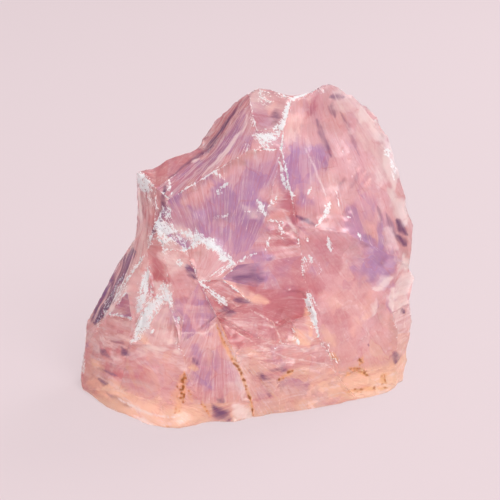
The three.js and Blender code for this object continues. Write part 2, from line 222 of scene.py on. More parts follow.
# Every fracture face: its curvature, its ring of corners, then the amount of each tint and how
# strongly it is combed by hackles. Each ring starts at the corner from which the break ran: ripples
# close round that corner, and hackles fan out from it.
FACES = (
    # upper front
    (FLAT, "spur_tip spur_top spur_heel", (0, 0, 0, 0.2, 0.5, 0.3)),
    (FLAT, "spur_root strip_mid spur_heel spur_top", (0, 0, 0, 0, 0.6, 0.2)),
    (SCOOP, "left_hump_foot hump_base strip_mid spur_root slope_bump", (0, 0, 0.05, 0, 0.5, 2)),
    (SCOOP, "hump_base hump_low window_brow_b window_brow_a window_left spur_heel strip_mid",
     (0.5, 0, 0, 0.15, 0, 2.5)),
    (SCOOP, "left_hump_foot left_hump left_hump_end notch ridge_top hump_low hump_base",
     (0.35, 0.1, 0, 0.35, 0, 0.2)),
    (FLAT, "hump_low ridge_top window_brow_c window_brow_b", (0.3, 0, 0, 0, 0, 0.2)),
    (DEEP_SCOOP, "burst_top burst_left strip_a window_left window_brow_a window_brow_b "
     "window_brow_c window_right window_sill burst_right", (0.8, 0, 0.03, 0.05, 0, 0.75)),
    (SCOOP, "window_brow_c ridge_a window_right", (0.25, 0, 0, 0, 0.2, 0.3)),
    (SCOOP, "window_right ridge_a ridge_b window_sill", (0.1, 0.35, 0, 0, 0.2, 0.2)),
    (SCOOP, "window_sill ridge_b ridge_c lens_top burst_right", (0.1, 0.15, 0, 0, 0.2, 0.2)),
    (SCOOP, "fan_apex burst_left burst_top burst_right lens_left", (0, 0.1, 0, 0.3, 0.1, 1)),
    (SWELL, "right_hump crest crest_end right_shoulder right_arm right_hip right_bulge upper_nick "
     "chip_a flank_mid ridge_b ridge_a window_brow_c ridge_top notch right_hump_start",
     (0.2, 0.15, 0, 0.12, 0, 0.45)),
    # lower front
    (SCOOP, "lens_top ridge_c ridge_d lens_right", (0.35, 0, 0, 0, 0.6, 0.1)),
    (SCOOP, "lens_left burst_right lens_top lens_right", (1, 0, 0.5, 0, 0, 0.1)),
    (SCOOP, "lens_left lens_right lens_tip", (0, 0.7, 0, 0, 0, 0.1)),
    (SCOOP, "fan_apex lens_left lens_tip fan_shoulder", (0.1, 0.1, 0, 0, 0.8, 0.4)),
    (SCOOP, "fan_shoulder lens_tip step_a step_d", (0.3, 0.1, 0, 0, 0.6, 0.5)),
    (SCOOP, "fan_shoulder step_d fan_edge", (0.1, 0.2, 0, 0, 0.6, 0.3)),
    (SCOOP, "lens_tip lens_right ridge_d ridge_e step_b step_a", (0.15, 0, 0, 0, 0.85, 0.2)),
    (SCOOP, "step_a step_b step_c step_d", (0.1, 0.3, 0, 0, 0.35, 0.5)),
    (SCOOP, "step_b ridge_e ridge_f step_c", (0, 0.5, 0, 0.1, 0.2, 0.5)),
    (SCOOP, "fan_edge step_d step_c ridge_f ridge_end apron_right apron_left",
     (0.1, 0.35, 0, 0, 0.3, 0.3)),
    (SCOOP, "apron_left apron_right foot_a foot_b foot_c", (0.1, 0.5, 0, 0, 0, 0.1)),
    (SCOOP, "fan_edge apron_left foot_c foot_d fan_end", (0.2, 0.35, 0, 0, 0, 0.3)),
    (SWELL, "fan_apex fan_shoulder fan_left fan_side", (0.7, 0, 0, 0.05, 0, 0.4)),
    (SWELL, "fan_shoulder fan_edge fan_end fan_toe fan_heel fan_left", (0.25, 0, 0, 0.15, 0.15, 0.6)),
    (SCOOP, "fan_end foot_d foot_e foot_f fan_toe", (0.2, 0.25, 0, 0.1, 0.2, 0.5)),
    (SWELL, "ridge_b flank_mid chip_a chip_b chip_c chip_d apron_right ridge_end ridge_f ridge_e "
     "ridge_d ridge_c", (0.05, 0.1, 0, 0, 0.2, 0.2)),
    (SCOOP, "apron_right chip_d right_toe foot_a", (0, 0.9, 0, 0.1, 0, 0.1)),
    # left front
    (SCOOP, "spur_tip spur_heel strip_a strip_b strip_c strip_d left_shin left_waist left_hollow",
     (0, 0.1, 0.25, 0.25, 0.2, 3.2)),
    (FLAT, "spur_heel window_left strip_a", (0, 0, 0.4, 0, 0.3, 0.5)),
    (FLAT, "strip_d left_ankle left_shin", (0, 0, 0.3, 0.3, 0, 0.3)),
    (FLAT, "strip_a burst_left chute_top", (0, 0, 0, 0.5, 0, 0.2)),
    (SCOOP, "strip_b strip_a chute_top streak_top streak_left", (0, 0, 0, 0.1, 0.4, 0.5)),
    (SCOOP, "strip_b streak_left pane_top strip_c", (0.1, 0, 0, 0.3, 0, 0.3)),
    (SCOOP, "chute_top burst_left fan_apex fan_side streak_top", (0, 0.15, 0, 0.1, 0.2, 0.4)),
    (SCOOP, "streak_top fan_side fan_left", (0.1, 0, 0, 0.25, 0.1, 0.4)),
    (FLAT, "streak_left streak_top streak_end", (0, 0, 0, 0.5, 0.2, 0.4)),
    (SCOOP, "streak_top fan_left streak_end", (0, 0.1, 0, 0.4, 0, 0.6)),
    (SCOOP, "streak_left streak_end pane_right pane_top", (0, 0, 0, 0.35, 0, 0.3)),
    (SCOOP, "pane_left pane_top pane_right", (0.5, 0, 0.35, 0, 0.7, 0.1)),
    (FLAT, "strip_c pane_top pane_left strip_d", (0, 0, 0, 0.4, 0, 0.2)),
    (SWELL, "streak_end bevel_left left_foot left_ankle strip_d pane_left pane_right",
     (0.1, 0.1, 0, 0.2, 0.1, 0.1)),
    (SCOOP, "streak_end fan_left fan_heel fan_toe bevel_right bevel_left",
     (0.2, 0.3, 0, 0.1, 0.1, 0.15)),
    (SCOOP, "left_foot bevel_left foot_h foot_i", (0, 0.5, 0, 0, 0.25, 0.1)),
    (SWELL, "bevel_left bevel_right toe foot_h", (0, 0.9, 0, 0.1, 0, 0.1)),
    (SCOOP, "bevel_right fan_toe foot_f foot_g toe", (0, 0.9, 0, 0, 0, 0.2)),
    # right end
    (SCOOP, "upper_nick upper_lobe middle_nick chip_b chip_a", (0, 0, 0.1, 0.7, 0, 0.3)),
    (SCOOP, "middle_nick lower_lobe chip_c chip_b", (0, 0.2, 0.2, 0.5, 0, 0.3)),
    (SCOOP, "lower_lobe lower_nick chip_d chip_c", (0, 0.4, 0, 0.2, 0, 0.3)),
    (SCOOP, "lower_nick right_heel right_toe chip_d", (0, 0.6, 0, 0.2, 0, 0.3)),
    # back
    (SCOOP, "crest crest_end right_shoulder right_arm back_brow_a back_brow_b",
     (0.2, 0.1, 0, 0.1, 0.2, 0.4)),
    (SCOOP, "right_arm right_hip right_bulge back_belly_a back_brow_a", (0.5, 0, 0.1, 0, 0.2, 0.4)),
    (SCOOP, "right_bulge upper_nick upper_lobe middle_nick lower_lobe lower_nick right_heel "
     "back_foot_a back_belly_a", (0, 0.4, 0, 0.2, 0.2, 0.4)),
    (SCOOP, "back_brow_a back_belly_a back_belly_b back_brow_b", (0.1, 0.2, 0, 0.1, 0.2, 0.4)),
    (SWELL, "back_belly_a back_foot_a back_foot_b back_belly_b", (0, 0.5, 0, 0, 0.2, 0.4)),
    (SCOOP, "back_belly_b back_foot_b back_foot_c back_belly_c", (0.1, 0.4, 0, 0, 0.2, 0.4)),
    (DEEP_SCOOP, "back_brow_b back_belly_b back_belly_c back_brow_c", (0.3, 0.1, 0, 0.1, 0.2, 0.4)),
    (SCOOP, "left_hump left_hump_end notch right_hump_start right_hump crest back_brow_b "
     "back_brow_c", (0.1, 0.1, 0, 0.3, 0.2, 0.4)),
    (SCOOP, "left_hump left_hump_foot slope_bump spur_root back_brow_d back_brow_c",
     (0.3, 0, 0.3, 0, 0.2, 0.4)),
    (SCOOP, "back_brow_c back_belly_c back_belly_d back_brow_d", (0, 0.3, 0, 0.1, 0.2, 0.4)),
    (SWELL, "back_belly_c back_foot_c back_foot_d back_belly_d", (0, 0.45, 0, 0, 0.2, 0.4)),
    (FLAT, "spur_root spur_top spur_tip back_brow_d", (0, 0, 0.2, 0.4, 0.2, 0.4)),
    (SCOOP, "spur_tip left_hollow left_waist back_belly_d back_brow_d", (0.4, 0, 0.3, 0, 0.2, 0.4)),
    (SCOOP, "left_waist left_shin left_ankle back_foot_e back_foot_d back_belly_d",
     (0.1, 0.2, 0.1, 0.1, 0.2, 0.4)),
    (FLAT, "left_ankle left_foot back_foot_e", (0, 0.3, 0, 0.2, 0.2, 0.4)),
    # resting face
    (FLAT, "left_foot foot_i foot_h toe foot_g foot_f foot_e foot_d foot_c foot_b foot_a "
     "right_toe right_heel back_foot_a back_foot_b back_foot_c back_foot_d back_foot_e",
     (0, 0.4, 0, 0.2, 0.2, 0.4)),
)

PASSES = (2, 2)               # how often each lattice side is divided, once for every pass
SETTLING_STEPS = 60
RIDGE_WANDER = 0.05           # how far a ridge strays, as a part of its spacing
# Then sides longer than this, in mm, are halved, pass by pass.
HALVINGS = (2.0, 1.1, 0.8, 0.62, 0.54)
HALVED_STEPS = 30
RESTING = len(FACES) - 1      # number of the resting face
RESTING_COARSENESS = 4        # how much longer its sides may be, since it is plain and flat
ROUNDED_CORNERS = ("left_hump_foot left_hump left_hump_end notch right_hump_start right_hump crest "
                   "crest_end right_shoulder right_arm right_hip right_bulge lower_lobe right_heel "
                   "lower_nick spur_top spur_root slope_bump toe foot_g foot_h foot_i left_foot")
ROUNDING_REACH = 2.5          # mm from such a corner over which it is rounded
ROUNDING_STEPS = 25
ROUNDING_SHARE = 0.7          # of the way to its neighbours that a spot moves in a step

# Worn ridges, as corners passed in turn.
SOFT_RIDGES = (
    "left_foot bevel_left streak_end fan_left fan_heel fan_toe foot_f", "toe bevel_right",
    "foot_h bevel_left bevel_right fan_toe fan_end", "fan_edge apron_left foot_c",
    "foot_a apron_right apron_left", "ridge_end apron_right chip_d right_toe", "chip_a chip_b",
    "step_a step_d", "lens_top lens_right lens_tip step_a step_b", "ridge_d lens_right", "step_b step_c",
    "streak_top fan_side", "ridge_b window_sill",
    "strip_d left_ankle", "right_bulge upper_nick", "back_brow_a back_belly_a back_foot_a",
    "back_brow_b back_belly_b back_foot_b", "back_brow_c back_belly_c back_foot_c",
    "back_belly_a back_belly_b back_belly_c back_belly_d",
)
SOFT_REACH = 3.0              # mm from a soft ridge over which it is worn and its tints run together
BLENDING_STEPS = 40
CALM_FACES = "lens_left lens_tip lens_top ridge_b right_hump spur_root"   # rings, by first corner
CALM = 0.25                   # layering of a calm face, as a part of that of the others
FULLY_COMBED = 0.8            # combing from which a face shows no layers at all
INNER = 0                     # label of a side that runs across a face
CORNER = -1000                # owner of a corner of the ridges


# ---------------------------------------------------------------------------------------------
# The patchwork of films
# ---------------------------------------------------------------------------------------------

def ring_normal(ring):
    """Normal of a ring of points: the sum of the cross products of its successive points."""
    crosses = np.cross(ring, np.roll(ring, -1, axis=0)).sum(axis=0)
    return crosses / np.linalg.norm(crosses)


def outward_ring(names):
    """Corner names of a face, turned so that its normal points away from the stone's heart."""
    names = names.split()
    ring = np.array([CORNERS[name] for name in names], float)
    inward = ring_normal(ring) @ (ring.mean(axis=0) - HEART) < 0
    return names[::-1] if inward else names


def ridge_numbers():
    """A number from 1 up for every pair of neighbouring corners."""
    numbers = {}
    for _, names, _ in FACES:
        ring = names.split()
        for first, second in zip(ring, ring[1:] + ring[:1]):
            numbers.setdefault(frozenset((first, second)), len(numbers) + 1)
    return numbers


RIDGES = ridge_numbers()


def patchwork():
    """Flat triangles from every side of every ring to the ring's middle.

    Gives places (triangle, corner, xyz), owners (triangle, corner), sides (triangle, side: the
    ridge's number or INNER) and the face of each triangle. A spot's owner is the face it lies
    in, minus the number of the ridge it lies on, or CORNER.
    """
    places, owners, sides, faces = [], [], [], []
    for face, (_, names, _) in enumerate(FACES):
        names = outward_ring(names)
        ring = np.array([CORNERS[name] for name in names], float)
        middle = ring.mean(axis=0)
        for i, name in enumerate(names):
            j = (i + 1) % len(names)
            places.append((ring[i], ring[j], middle))
            owners.append((CORNER, CORNER, face))
            sides.append((RIDGES[frozenset((name, names[j]))], INNER, INNER))
            faces.append(face)
    return np.array(places), np.array(owners), np.array(sides), np.array(faces)


def lattice(splits):
    """Lattice of a triangle cut into splits x splits smaller ones.

    Gives the weights of the three corners at every lattice point, the small triangles as
    numbers of lattice points, and for each of their sides which side of the large triangle
    it lies on (0 to 2) or -1.
    """
    spots = [(i, j) for i in range(splits + 1) for j in range(splits + 1 - i)]
    number = {spot: k for k, spot in enumerate(spots)}
    weights = np.array([(splits - i - j, j, i) for i, j in spots], float) / splits
    small, small_sides = [], []
    for i in range(splits):
        for j in range(splits - i):
            small.append((number[i, j], number[i, j + 1], number[i + 1, j]))
            small_sides.append((0 if i == 0 else -1, 1 if i + j == splits - 1 else -1,
                                2 if j == 0 else -1))
            if i + j < splits - 1:
                small.append((number[i, j + 1], number[i + 1, j + 1], number[i + 1, j]))
                small_sides.append((-1, -1, -1))
    return weights, np.array(small), np.array(small_sides)


def divide(places, owners, sides, faces, splits):
    """Every triangle replaced by its lattice, and equal spots shared.

    Gives spots (n, 3), their owners, which of them are new, and the triangles, sides and faces.
    """
    weights, small, small_sides = lattice(splits)
    count, width = len(places), len(weights)
    spots = np.einsum("lc,tcx->tlx", weights, places).reshape(-1, 3)
    owner = np.repeat(faces[:, None], width, axis=1)
    for side, far_corner in ((0, 2), (1, 0), (2, 1)):
        on_side = weights[:, far_corner] == 0
        ridge = sides[:, side, None]
        owner[:, on_side] = np.where(ridge != INNER, -ridge, owner[:, on_side])
    is_old = weights.max(axis=1) == 1
    for corner in range(3):
        owner[:, weights[:, corner] == 1] = owners[:, corner, None]
    owner = owner.reshape(-1)
    keys = np.column_stack((np.round(spots * 1e5).astype(np.int64), owner))
    _, first, shared = np.unique(keys, axis=0, return_index=True, return_inverse=True)
    shared = shared.reshape(-1)
    triangles = (small[None] + width * np.arange(count)[:, None, None]).reshape(-1, 3)
    padded = np.column_stack((sides, np.full(count, INNER)))
    new_sides = padded[:, small_sides].reshape(-1, 3)
    is_new = ~np.tile(is_old, count)[first]
    return (spots[first], owner[first], is_new, shared[triangles], new_sides,
            np.repeat(faces, len(small)))


def halve(spots, owner, triangles, sides, faces, limit):
    """Every side longer than the limit halved, and the triangles on it cut in two, three or four.

    A triangle is first turned so that its long sides come first, which leaves four cases.
    """
    starts, ends = triangles, np.roll(triangles, -1, axis=1)
    code = np.minimum(starts, ends).astype(np.int64) * len(spots) + np.maximum(starts, ends)
    _, first, side_of = np.unique(code.reshape(-1), return_index=True, return_inverse=True)
    a, b = starts.reshape(-1)[first], ends.reshape(-1)[first]
    label = sides.reshape(-1)[first]
    owner_of_side = np.where(label != INNER, -label, np.repeat(faces, 3)[first])
    longest = np.where(owner_of_side == RESTING, limit * RESTING_COARSENESS, limit)
    is_long = np.linalg.norm(spots[a] - spots[b], axis=1) > longest
    middle_number = np.cumsum(is_long) - 1 + len(spots)
    spots = np.concatenate((spots, (spots[a[is_long]] + spots[b[is_long]]) / 2))
    is_new = np.arange(len(spots)) >= len(owner)
    owner = np.concatenate((owner, owner_of_side[is_long]))
    side_of = side_of.reshape(-1, 3)
    cut = is_long[side_of]
    turn = np.select([cut.all(axis=1) | ~cut.any(axis=1), cut[:, 0] & ~cut[:, 2],
                      cut[:, 1] & ~cut[:, 0]], [0, 0, 1], 2)
    order = (turn[:, None] + np.arange(3)) % 3
    (a, b, c) = np.take_along_axis(triangles, order, axis=1).T
    (r, s, t) = np.take_along_axis(sides, order, axis=1).T
    (p, q, m) = np.take_along_axis(middle_number[side_of], order, axis=1).T
    inner = np.full(len(a), INNER)
    cases = (
        ((a, b, c, r, s, t),),
        ((a, p, c, r, inner, t), (p, b, c, r, s, inner)),
        ((p, b, q, r, s, inner), (a, p, q, r, inner, inner), (a, q, c, inner, s, t)),
        ((a, p, m, r, inner, t), (p, b, q, r, s, inner), (q, c, m, s, t, inner),
         (p, q, m, inner, inner, inner)),
    )
    rows, row_faces = [], []
    for number, pieces in enumerate(cases):
        chosen = cut.sum(axis=1) == number
        for piece in pieces:
            rows.append(np.stack([column[chosen] for column in piece], axis=1))
            row_faces.append(faces[chosen])
    rows = np.concatenate(rows)
    return spots, owner, is_new, rows[:, :3], rows[:, 3:], np.concatenate(row_faces)


def neighbour_pairs(triangles):
    """Both ends of every side of the mesh, each pair once in either order."""
    both = np.concatenate((triangles[:, (0, 1)], triangles[:, (1, 2)], triangles[:, (2, 0)]))
    both = np.concatenate((both, both[:, ::-1]))
    top = triangles.max() + 1
    code = np.unique(both[:, 0].astype(np.int64) * top + both[:, 1])
    return code // top, code % top


def gathered(numbers, values, count):
    """Sum of the rows of values that share a number."""
    return np.stack([np.bincount(numbers, column, count) for column in values.T], axis=1)


def stray(spots):
    """Repeatable stray of each spot, -1 to 1 on each axis, from its own coordinates."""
    x, y, z = spots.T

    def wave(a, b, c):
        value = np.sin(a * 12.9898 + b * 78.233 + c * 37.719) * 43.7585
        return 2 * (value - np.floor(value)) - 1

    return np.stack((wave(x, y, z), wave(y, z, x), np.where(z > 0, wave(z, x, y), 0)), axis=1)


def wander(spots, owners, is_new, start, end):
    """New spots on a ridge stray by a part of the spacing to their nearest neighbour."""
    length = np.linalg.norm(spots[start] - spots[end], axis=1)
    spacing = np.full(len(spots), np.inf)
    np.minimum.at(spacing, start, length)
    moving = (owners < 0) & is_new
    shift = stray(spots) * (spacing * RIDGE_WANDER)[:, None]
    return np.where(moving[:, None], spots + shift, spots)


def settle(spots, owners, start, end, steps):
    """Each spot inside a face moves to the average of its neighbours, pushed by its face."""
    count = len(spots)
    degree = np.bincount(start, minlength=count)
    curvature = np.array([face[0] for face in FACES])
    normals = np.array([ring_normal(np.array([CORNERS[name] for name in outward_ring(names)]))
                        for _, names, _ in FACES])
    free = owners >= 0
    push = normals[owners[free]] * (curvature[owners[free]] / 4)[:, None]
    for _ in range(steps):
        apart = ((spots[start] - spots[end]) ** 2).sum(axis=1)
        spread = np.bincount(start, apart, count)[free] / degree[free]
        average = gathered(start, spots[end], count)[free] / degree[free, None]
        spots[free] = average + push * spread[:, None]
    return spots


def nearness(spots, centres, reach):
    """1 at the nearest centre, falling to 0 at the reach in an S-shaped curve."""
    gap = np.full(len(spots), reach)
    for centre in centres:
        gap = np.minimum(gap, np.linalg.norm(spots - centre, axis=1))
    return 1 - smooth(0, reach, gap)


def softness(spots, owner):
    """Nearness of every spot to the soft ridges."""
    pairs = [pair for path in SOFT_RIDGES for pair in zip(path.split(), path.split()[1:])]
    ends = np.array([CORNERS[name] for pair in pairs for name in pair], float)
    worn = np.isin(-owner, [RIDGES[frozenset(pair)] for pair in pairs])
    return nearness(spots, np.concatenate((ends, spots[worn])), SOFT_REACH)


def rounded(spots, start, end, soft):
    """Spots near a soft ridge or a rounded corner drawn step by step towards their neighbours."""
    corners = np.array([CORNERS[name] for name in ROUNDED_CORNERS.split()], float)
    near = np.maximum(nearness(spots, corners, ROUNDING_REACH), soft)
    share = ROUNDING_SHARE * near[near > 0, None]
    near = np.flatnonzero(near > 0)
    used = np.isin(start, near)
    start, end = start[used], end[used]
    degree = np.bincount(start, minlength=len(spots))[near, None]
    resting = spots[near, 2] < 1e-6
    for _ in range(ROUNDING_STEPS):
        average = gathered(start, spots[end], len(spots))[near] / degree
        spots[near] += share * (average - spots[near])
        spots[near[resting], 2] = 0
    return spots


def blended(values, triangles, soft):
    """Values at the triangles' corners, averaged with those around them where it is soft."""
    start, end = neighbour_pairs(triangles)
    degree = np.bincount(start, minlength=len(soft))[:, None]
    loops = triangles.ravel()
    average = gathered(loops, values, len(soft)) / np.bincount(loops, minlength=len(soft))[:, None]
    for _ in range(BLENDING_STEPS):
        average = gathered(start, average[end], len(soft)) / degree
    share = soft[loops, None]
    return values * (1 - share) + average[loops] * share


def settled_stone():
    """The whole outside in millimetres, fitted to the frame's box."""
    places, owners, sides, faces = patchwork()
    for splits in PASSES:
        spots, owner, is_new, triangles, sides, faces = divide(places, owners, sides, faces, splits)
        start, end = neighbour_pairs(triangles)
        spots = wander(spots, owner, is_new, start, end)
        spots = settle(spots, owner, start, end, SETTLING_STEPS)
        places, owners = spots[triangles], owner[triangles]
    for limit in HALVINGS:
        spots, owner, is_new, triangles, sides, faces = halve(
            spots, owner, triangles, sides, faces, limit)
        start, end = neighbour_pairs(triangles)
        spots = wander(spots, owner, is_new, start, end)
        spots = settle(spots, owner, start, end, HALVED_STEPS)
    soft = softness(spots, owner)
    spots = rounded(spots, start, end, soft)
    lowest, highest = spots.min(axis=0), spots.max(axis=0)
    spots = (spots - lowest) / (highest - lowest) * (HIGHEST - LOWEST) / MM + LOWEST / MM
    return spots, owner, triangles, faces, soft


def vertex_normals(spots, triangles):
    """Area-weighted average of the normals of the triangles round each spot."""
    a, b, c = (spots[triangles[:, k]] for k in range(3))
    normal = np.cross(b - a, c - a)
    total = sum(gathered(triangles[:, k], normal, len(spots)) for k in range(3))
    return total / np.linalg.norm(total, axis=1, keepdims=True)


# ---------------------------------------------------------------------------------------------
# Relief: swells, ripples, hackles and bruised ridges
# ---------------------------------------------------------------------------------------------

SPRING_REACH = 1.6            # how far beyond a ring's middle its spring lies, in corner distances
FAR_SPRINGS = {"burst_top": "lens_left"}  # rings whose break came from beyond, by first corner
RIPPLE_LENGTHS = (1.9, 3.4)   # mm from ripple to ripple, shortest and longest
RIPPLE_FADE = 1.4             # mm over which ripples fade in beside a ridge
RIPPLE_DRIFT = 1.5            # mm by which a ripple strays from its circle
RIPPLE_PATCH = 8              # mm from one rippled patch to the next
RIPPLED = (0.35, 0.8)         # noise between which a patch turns from plain to rippled
HACKLE_WIDTH = 0.9
HACKLE_LENGTH = 11.0
SWELL_SIZE = 6.5              # mm from one low swell of a face to the next
FOOT_FADE = 1.5               # mm above the resting plane where relief sets in
CHIP_SIZE = 0.9
CHIPPED = (0.3, 0.8)          # noise between which a spot turns from whole to chipped
CHIP_REACH = 0.55             # mm from a ridge to which its chips reach
RIPPLE_STRIDE = 5.3           # steps in the noises from one face to the next
HACKLE_STRIDE = 3.7
GRAIN_STRIDE = 7.3
GRID = 32                     # random numbers along each side of the noise's cubic grid
SCARS = 230                   # shallow flake scars on the faces
SCAR_RADII = (1.6, 7.0)       # mm, smallest and largest
SCAR_SLOPES = (0.08, 0.24)    # depth of a scar as a part of its radius, least and greatest
SCAR_RAGGEDNESS = 0.5         # mm by which the outline of a scar strays
SCAR_TURN = 0.4               # least cosine between the normals in a scar
SCAR_FADE = 0.6               # mm beside a ridge over which scars fade in


def smooth(low, high, value):
    """0 below low, 1 above high and an S-shaped rise between them."""
    part = np.clip((value - low) / (high - low), 0, 1)
    return part * part * (3 - 2 * part)


def noise(places, size, seed):
    """Smooth noise from 0 to 1: random numbers on a cubic grid of this size, blended between."""
    table = np.random.default_rng(seed).random((GRID, GRID, GRID))
    scaled = places / size
    cell = np.floor(scaled).astype(int)
    part = smooth(0, 1, scaled - cell)
    total = np.zeros(len(places))
    for corner in np.ndindex(2, 2, 2):
        weight = np.where(corner, part, 1 - part).prod(axis=1)
        total += table[tuple(((cell + corner) % GRID).T)] * weight
    return total


def ring_places(names):
    """Corners of a ring, centred as the stone is."""
    return np.array([CORNERS[name] for name in names.split()], float) + CENTRING


def spring_fields():
    """Spring of every face, the axis from it to the middle, the axis across, and their distance."""
    springs, axes, across_axes, reaches = [], [], [], []
    for _, names, _ in FACES:
        ring = ring_places(names)
        middle = ring.mean(axis=0)
        source = ring_places(FAR_SPRINGS.get(names.split()[0], names))[0]
        spring = middle + SPRING_REACH * (source - middle)
        reach = np.linalg.norm(middle - spring)
        axis = (middle - spring) / reach
        springs.append(spring)
        axes.append(axis)
        across_axes.append(np.cross(ring_normal(ring), axis))
        reaches.append(reach)
    return np.array(springs), np.array(axes), np.array(across_axes), np.array(reaches)


def grain_of(places, face):
    """Place of each point in its face's fan, in mm: across (angle times reach) and along."""
    springs, axes, across_axes, reaches = spring_fields()
    ray = places - springs[face]
    angle = np.arctan2((ray * across_axes[face]).sum(axis=1), (ray * axes[face]).sum(axis=1))
    return angle * reaches[face], np.linalg.norm(ray, axis=1)


def ridge_gaps(spots, owner):
    """Distance from every spot to the nearest ridge of its own face, and that ridge's number."""
    gap = np.zeros(len(spots))
    ridge = np.where((owner < 0) & (owner > CORNER), -owner, 0)
    on_ridge = np.flatnonzero(ridge)
    groups = [(np.flatnonzero(owner == CORNER), on_ridge)]
    for face, (_, names, _) in enumerate(FACES):
        ring = names.split()
        own = [RIDGES[frozenset(pair)] for pair in zip(ring, ring[1:] + ring[:1])]
        groups.append((np.flatnonzero(owner == face), on_ridge[np.isin(ridge[on_ridge], own)]))
    for inside, border in groups:
        squares = ((spots[inside] ** 2).sum(axis=1)[:, None] + (spots[border] ** 2).sum(axis=1)
                   - 2 * spots[inside] @ spots[border].T)
        nearest = squares.argmin(axis=1)
        gap[inside] = np.sqrt(np.maximum(squares.min(axis=1), 0))
        ridge[inside] = ridge[border[nearest]]
    gap[owner == CORNER] = 0
    return gap, ridge


def scars(spots, normals, owner):
    """Depth and tint of the flake scars.

    A scar is a bowl round a random spot: its depth times one minus the square of the distance
    over its radius. The deepest bowl wins, so bowls meet in crisp edges. Each has a tint from
    -1, cool, to 1, warm, and a shade from -1, dark, to 1, light: partly random tone and partly a
    painted reflection, as each small facet catches the light differently.
    """
    random = np.random.default_rng(11)
    centres = random.choice(np.flatnonzero((owner >= 0) & (owner != RESTING)), SCARS)
    least, greatest = SCAR_RADII
    radii = least * (greatest / least) ** random.random(SCARS) ** 1.5
    slopes = random.uniform(*SCAR_SLOPES, SCARS)
    looks = random.uniform(-1, 1, (SCARS, 2))
    depth, look = np.zeros(len(spots)), np.zeros((len(spots), 2))
    warped = spots + SCAR_RAGGEDNESS * (noise(spots, 1.6, 12) - 0.5)[:, None]
    for centre, radius, slope, own_look in zip(centres, radii, slopes, looks):
        apart = warped - spots[centre]
        squares = (apart ** 2).sum(axis=1) / radius ** 2
        bowl = np.where(normals @ normals[centre] > SCAR_TURN, slope * radius * (1 - squares), 0)
        deeper = bowl > depth
        depth = np.where(deeper, bowl, depth)
        look[deeper] = own_look
    return depth, look


def relief(spots, owner, gap, bruise, look):
    """Height of the relief over the settled films, in mm.

    Inside a face it is a low swell, plus sine ripples round the spring, plus noise drawn out
    along the rays as hackles, all fading towards the ridges. Beside a ridge chips are taken
    away, deeper where the ridge is bruised.
    """
    face = np.maximum(owner, 0)
    across, along = grain_of(spots, face)
    fan = np.stack((across / HACKLE_WIDTH, along / HACKLE_LENGTH, face * HACKLE_STRIDE), axis=1)
    shortest, longest = RIPPLE_LENGTHS
    ones = np.ones(len(spots))
    own = noise(np.stack((face * RIPPLE_STRIDE, ones, ones), axis=1), 1, 3)
    length = shortest + (longest - shortest) * own
    wander_along = along + RIPPLE_DRIFT * noise(spots, 5, 4)
    presence = smooth(*RIPPLED, noise(spots, RIPPLE_PATCH, 5))
    inside = (owner >= 0) & (owner != RESTING)
    fade = np.where(inside, smooth(0, RIPPLE_FADE, gap), 0)
    height = look.swell * (noise(spots, SWELL_SIZE, 6) - 0.5) * smooth(0, 3 * RIPPLE_FADE, gap)
    height += look.ripple * presence * np.sin(2 * np.pi * wander_along / length) * fade
    height += look.hackle * (noise(fan, 1, 7) - 0.5) * fade
    chips = smooth(*CHIPPED, noise(spots, CHIP_SIZE, 8)) * np.exp(-gap / CHIP_REACH)
    height -= look.chip * (0.1 + bruise) * chips
    return np.where(owner == RESTING, 0, height * smooth(0, FOOT_FADE, spots[:, 2]))


# ---------------------------------------------------------------------------------------------
# Marks: frost and rust along ridges, and strokes laid on the front
# ---------------------------------------------------------------------------------------------

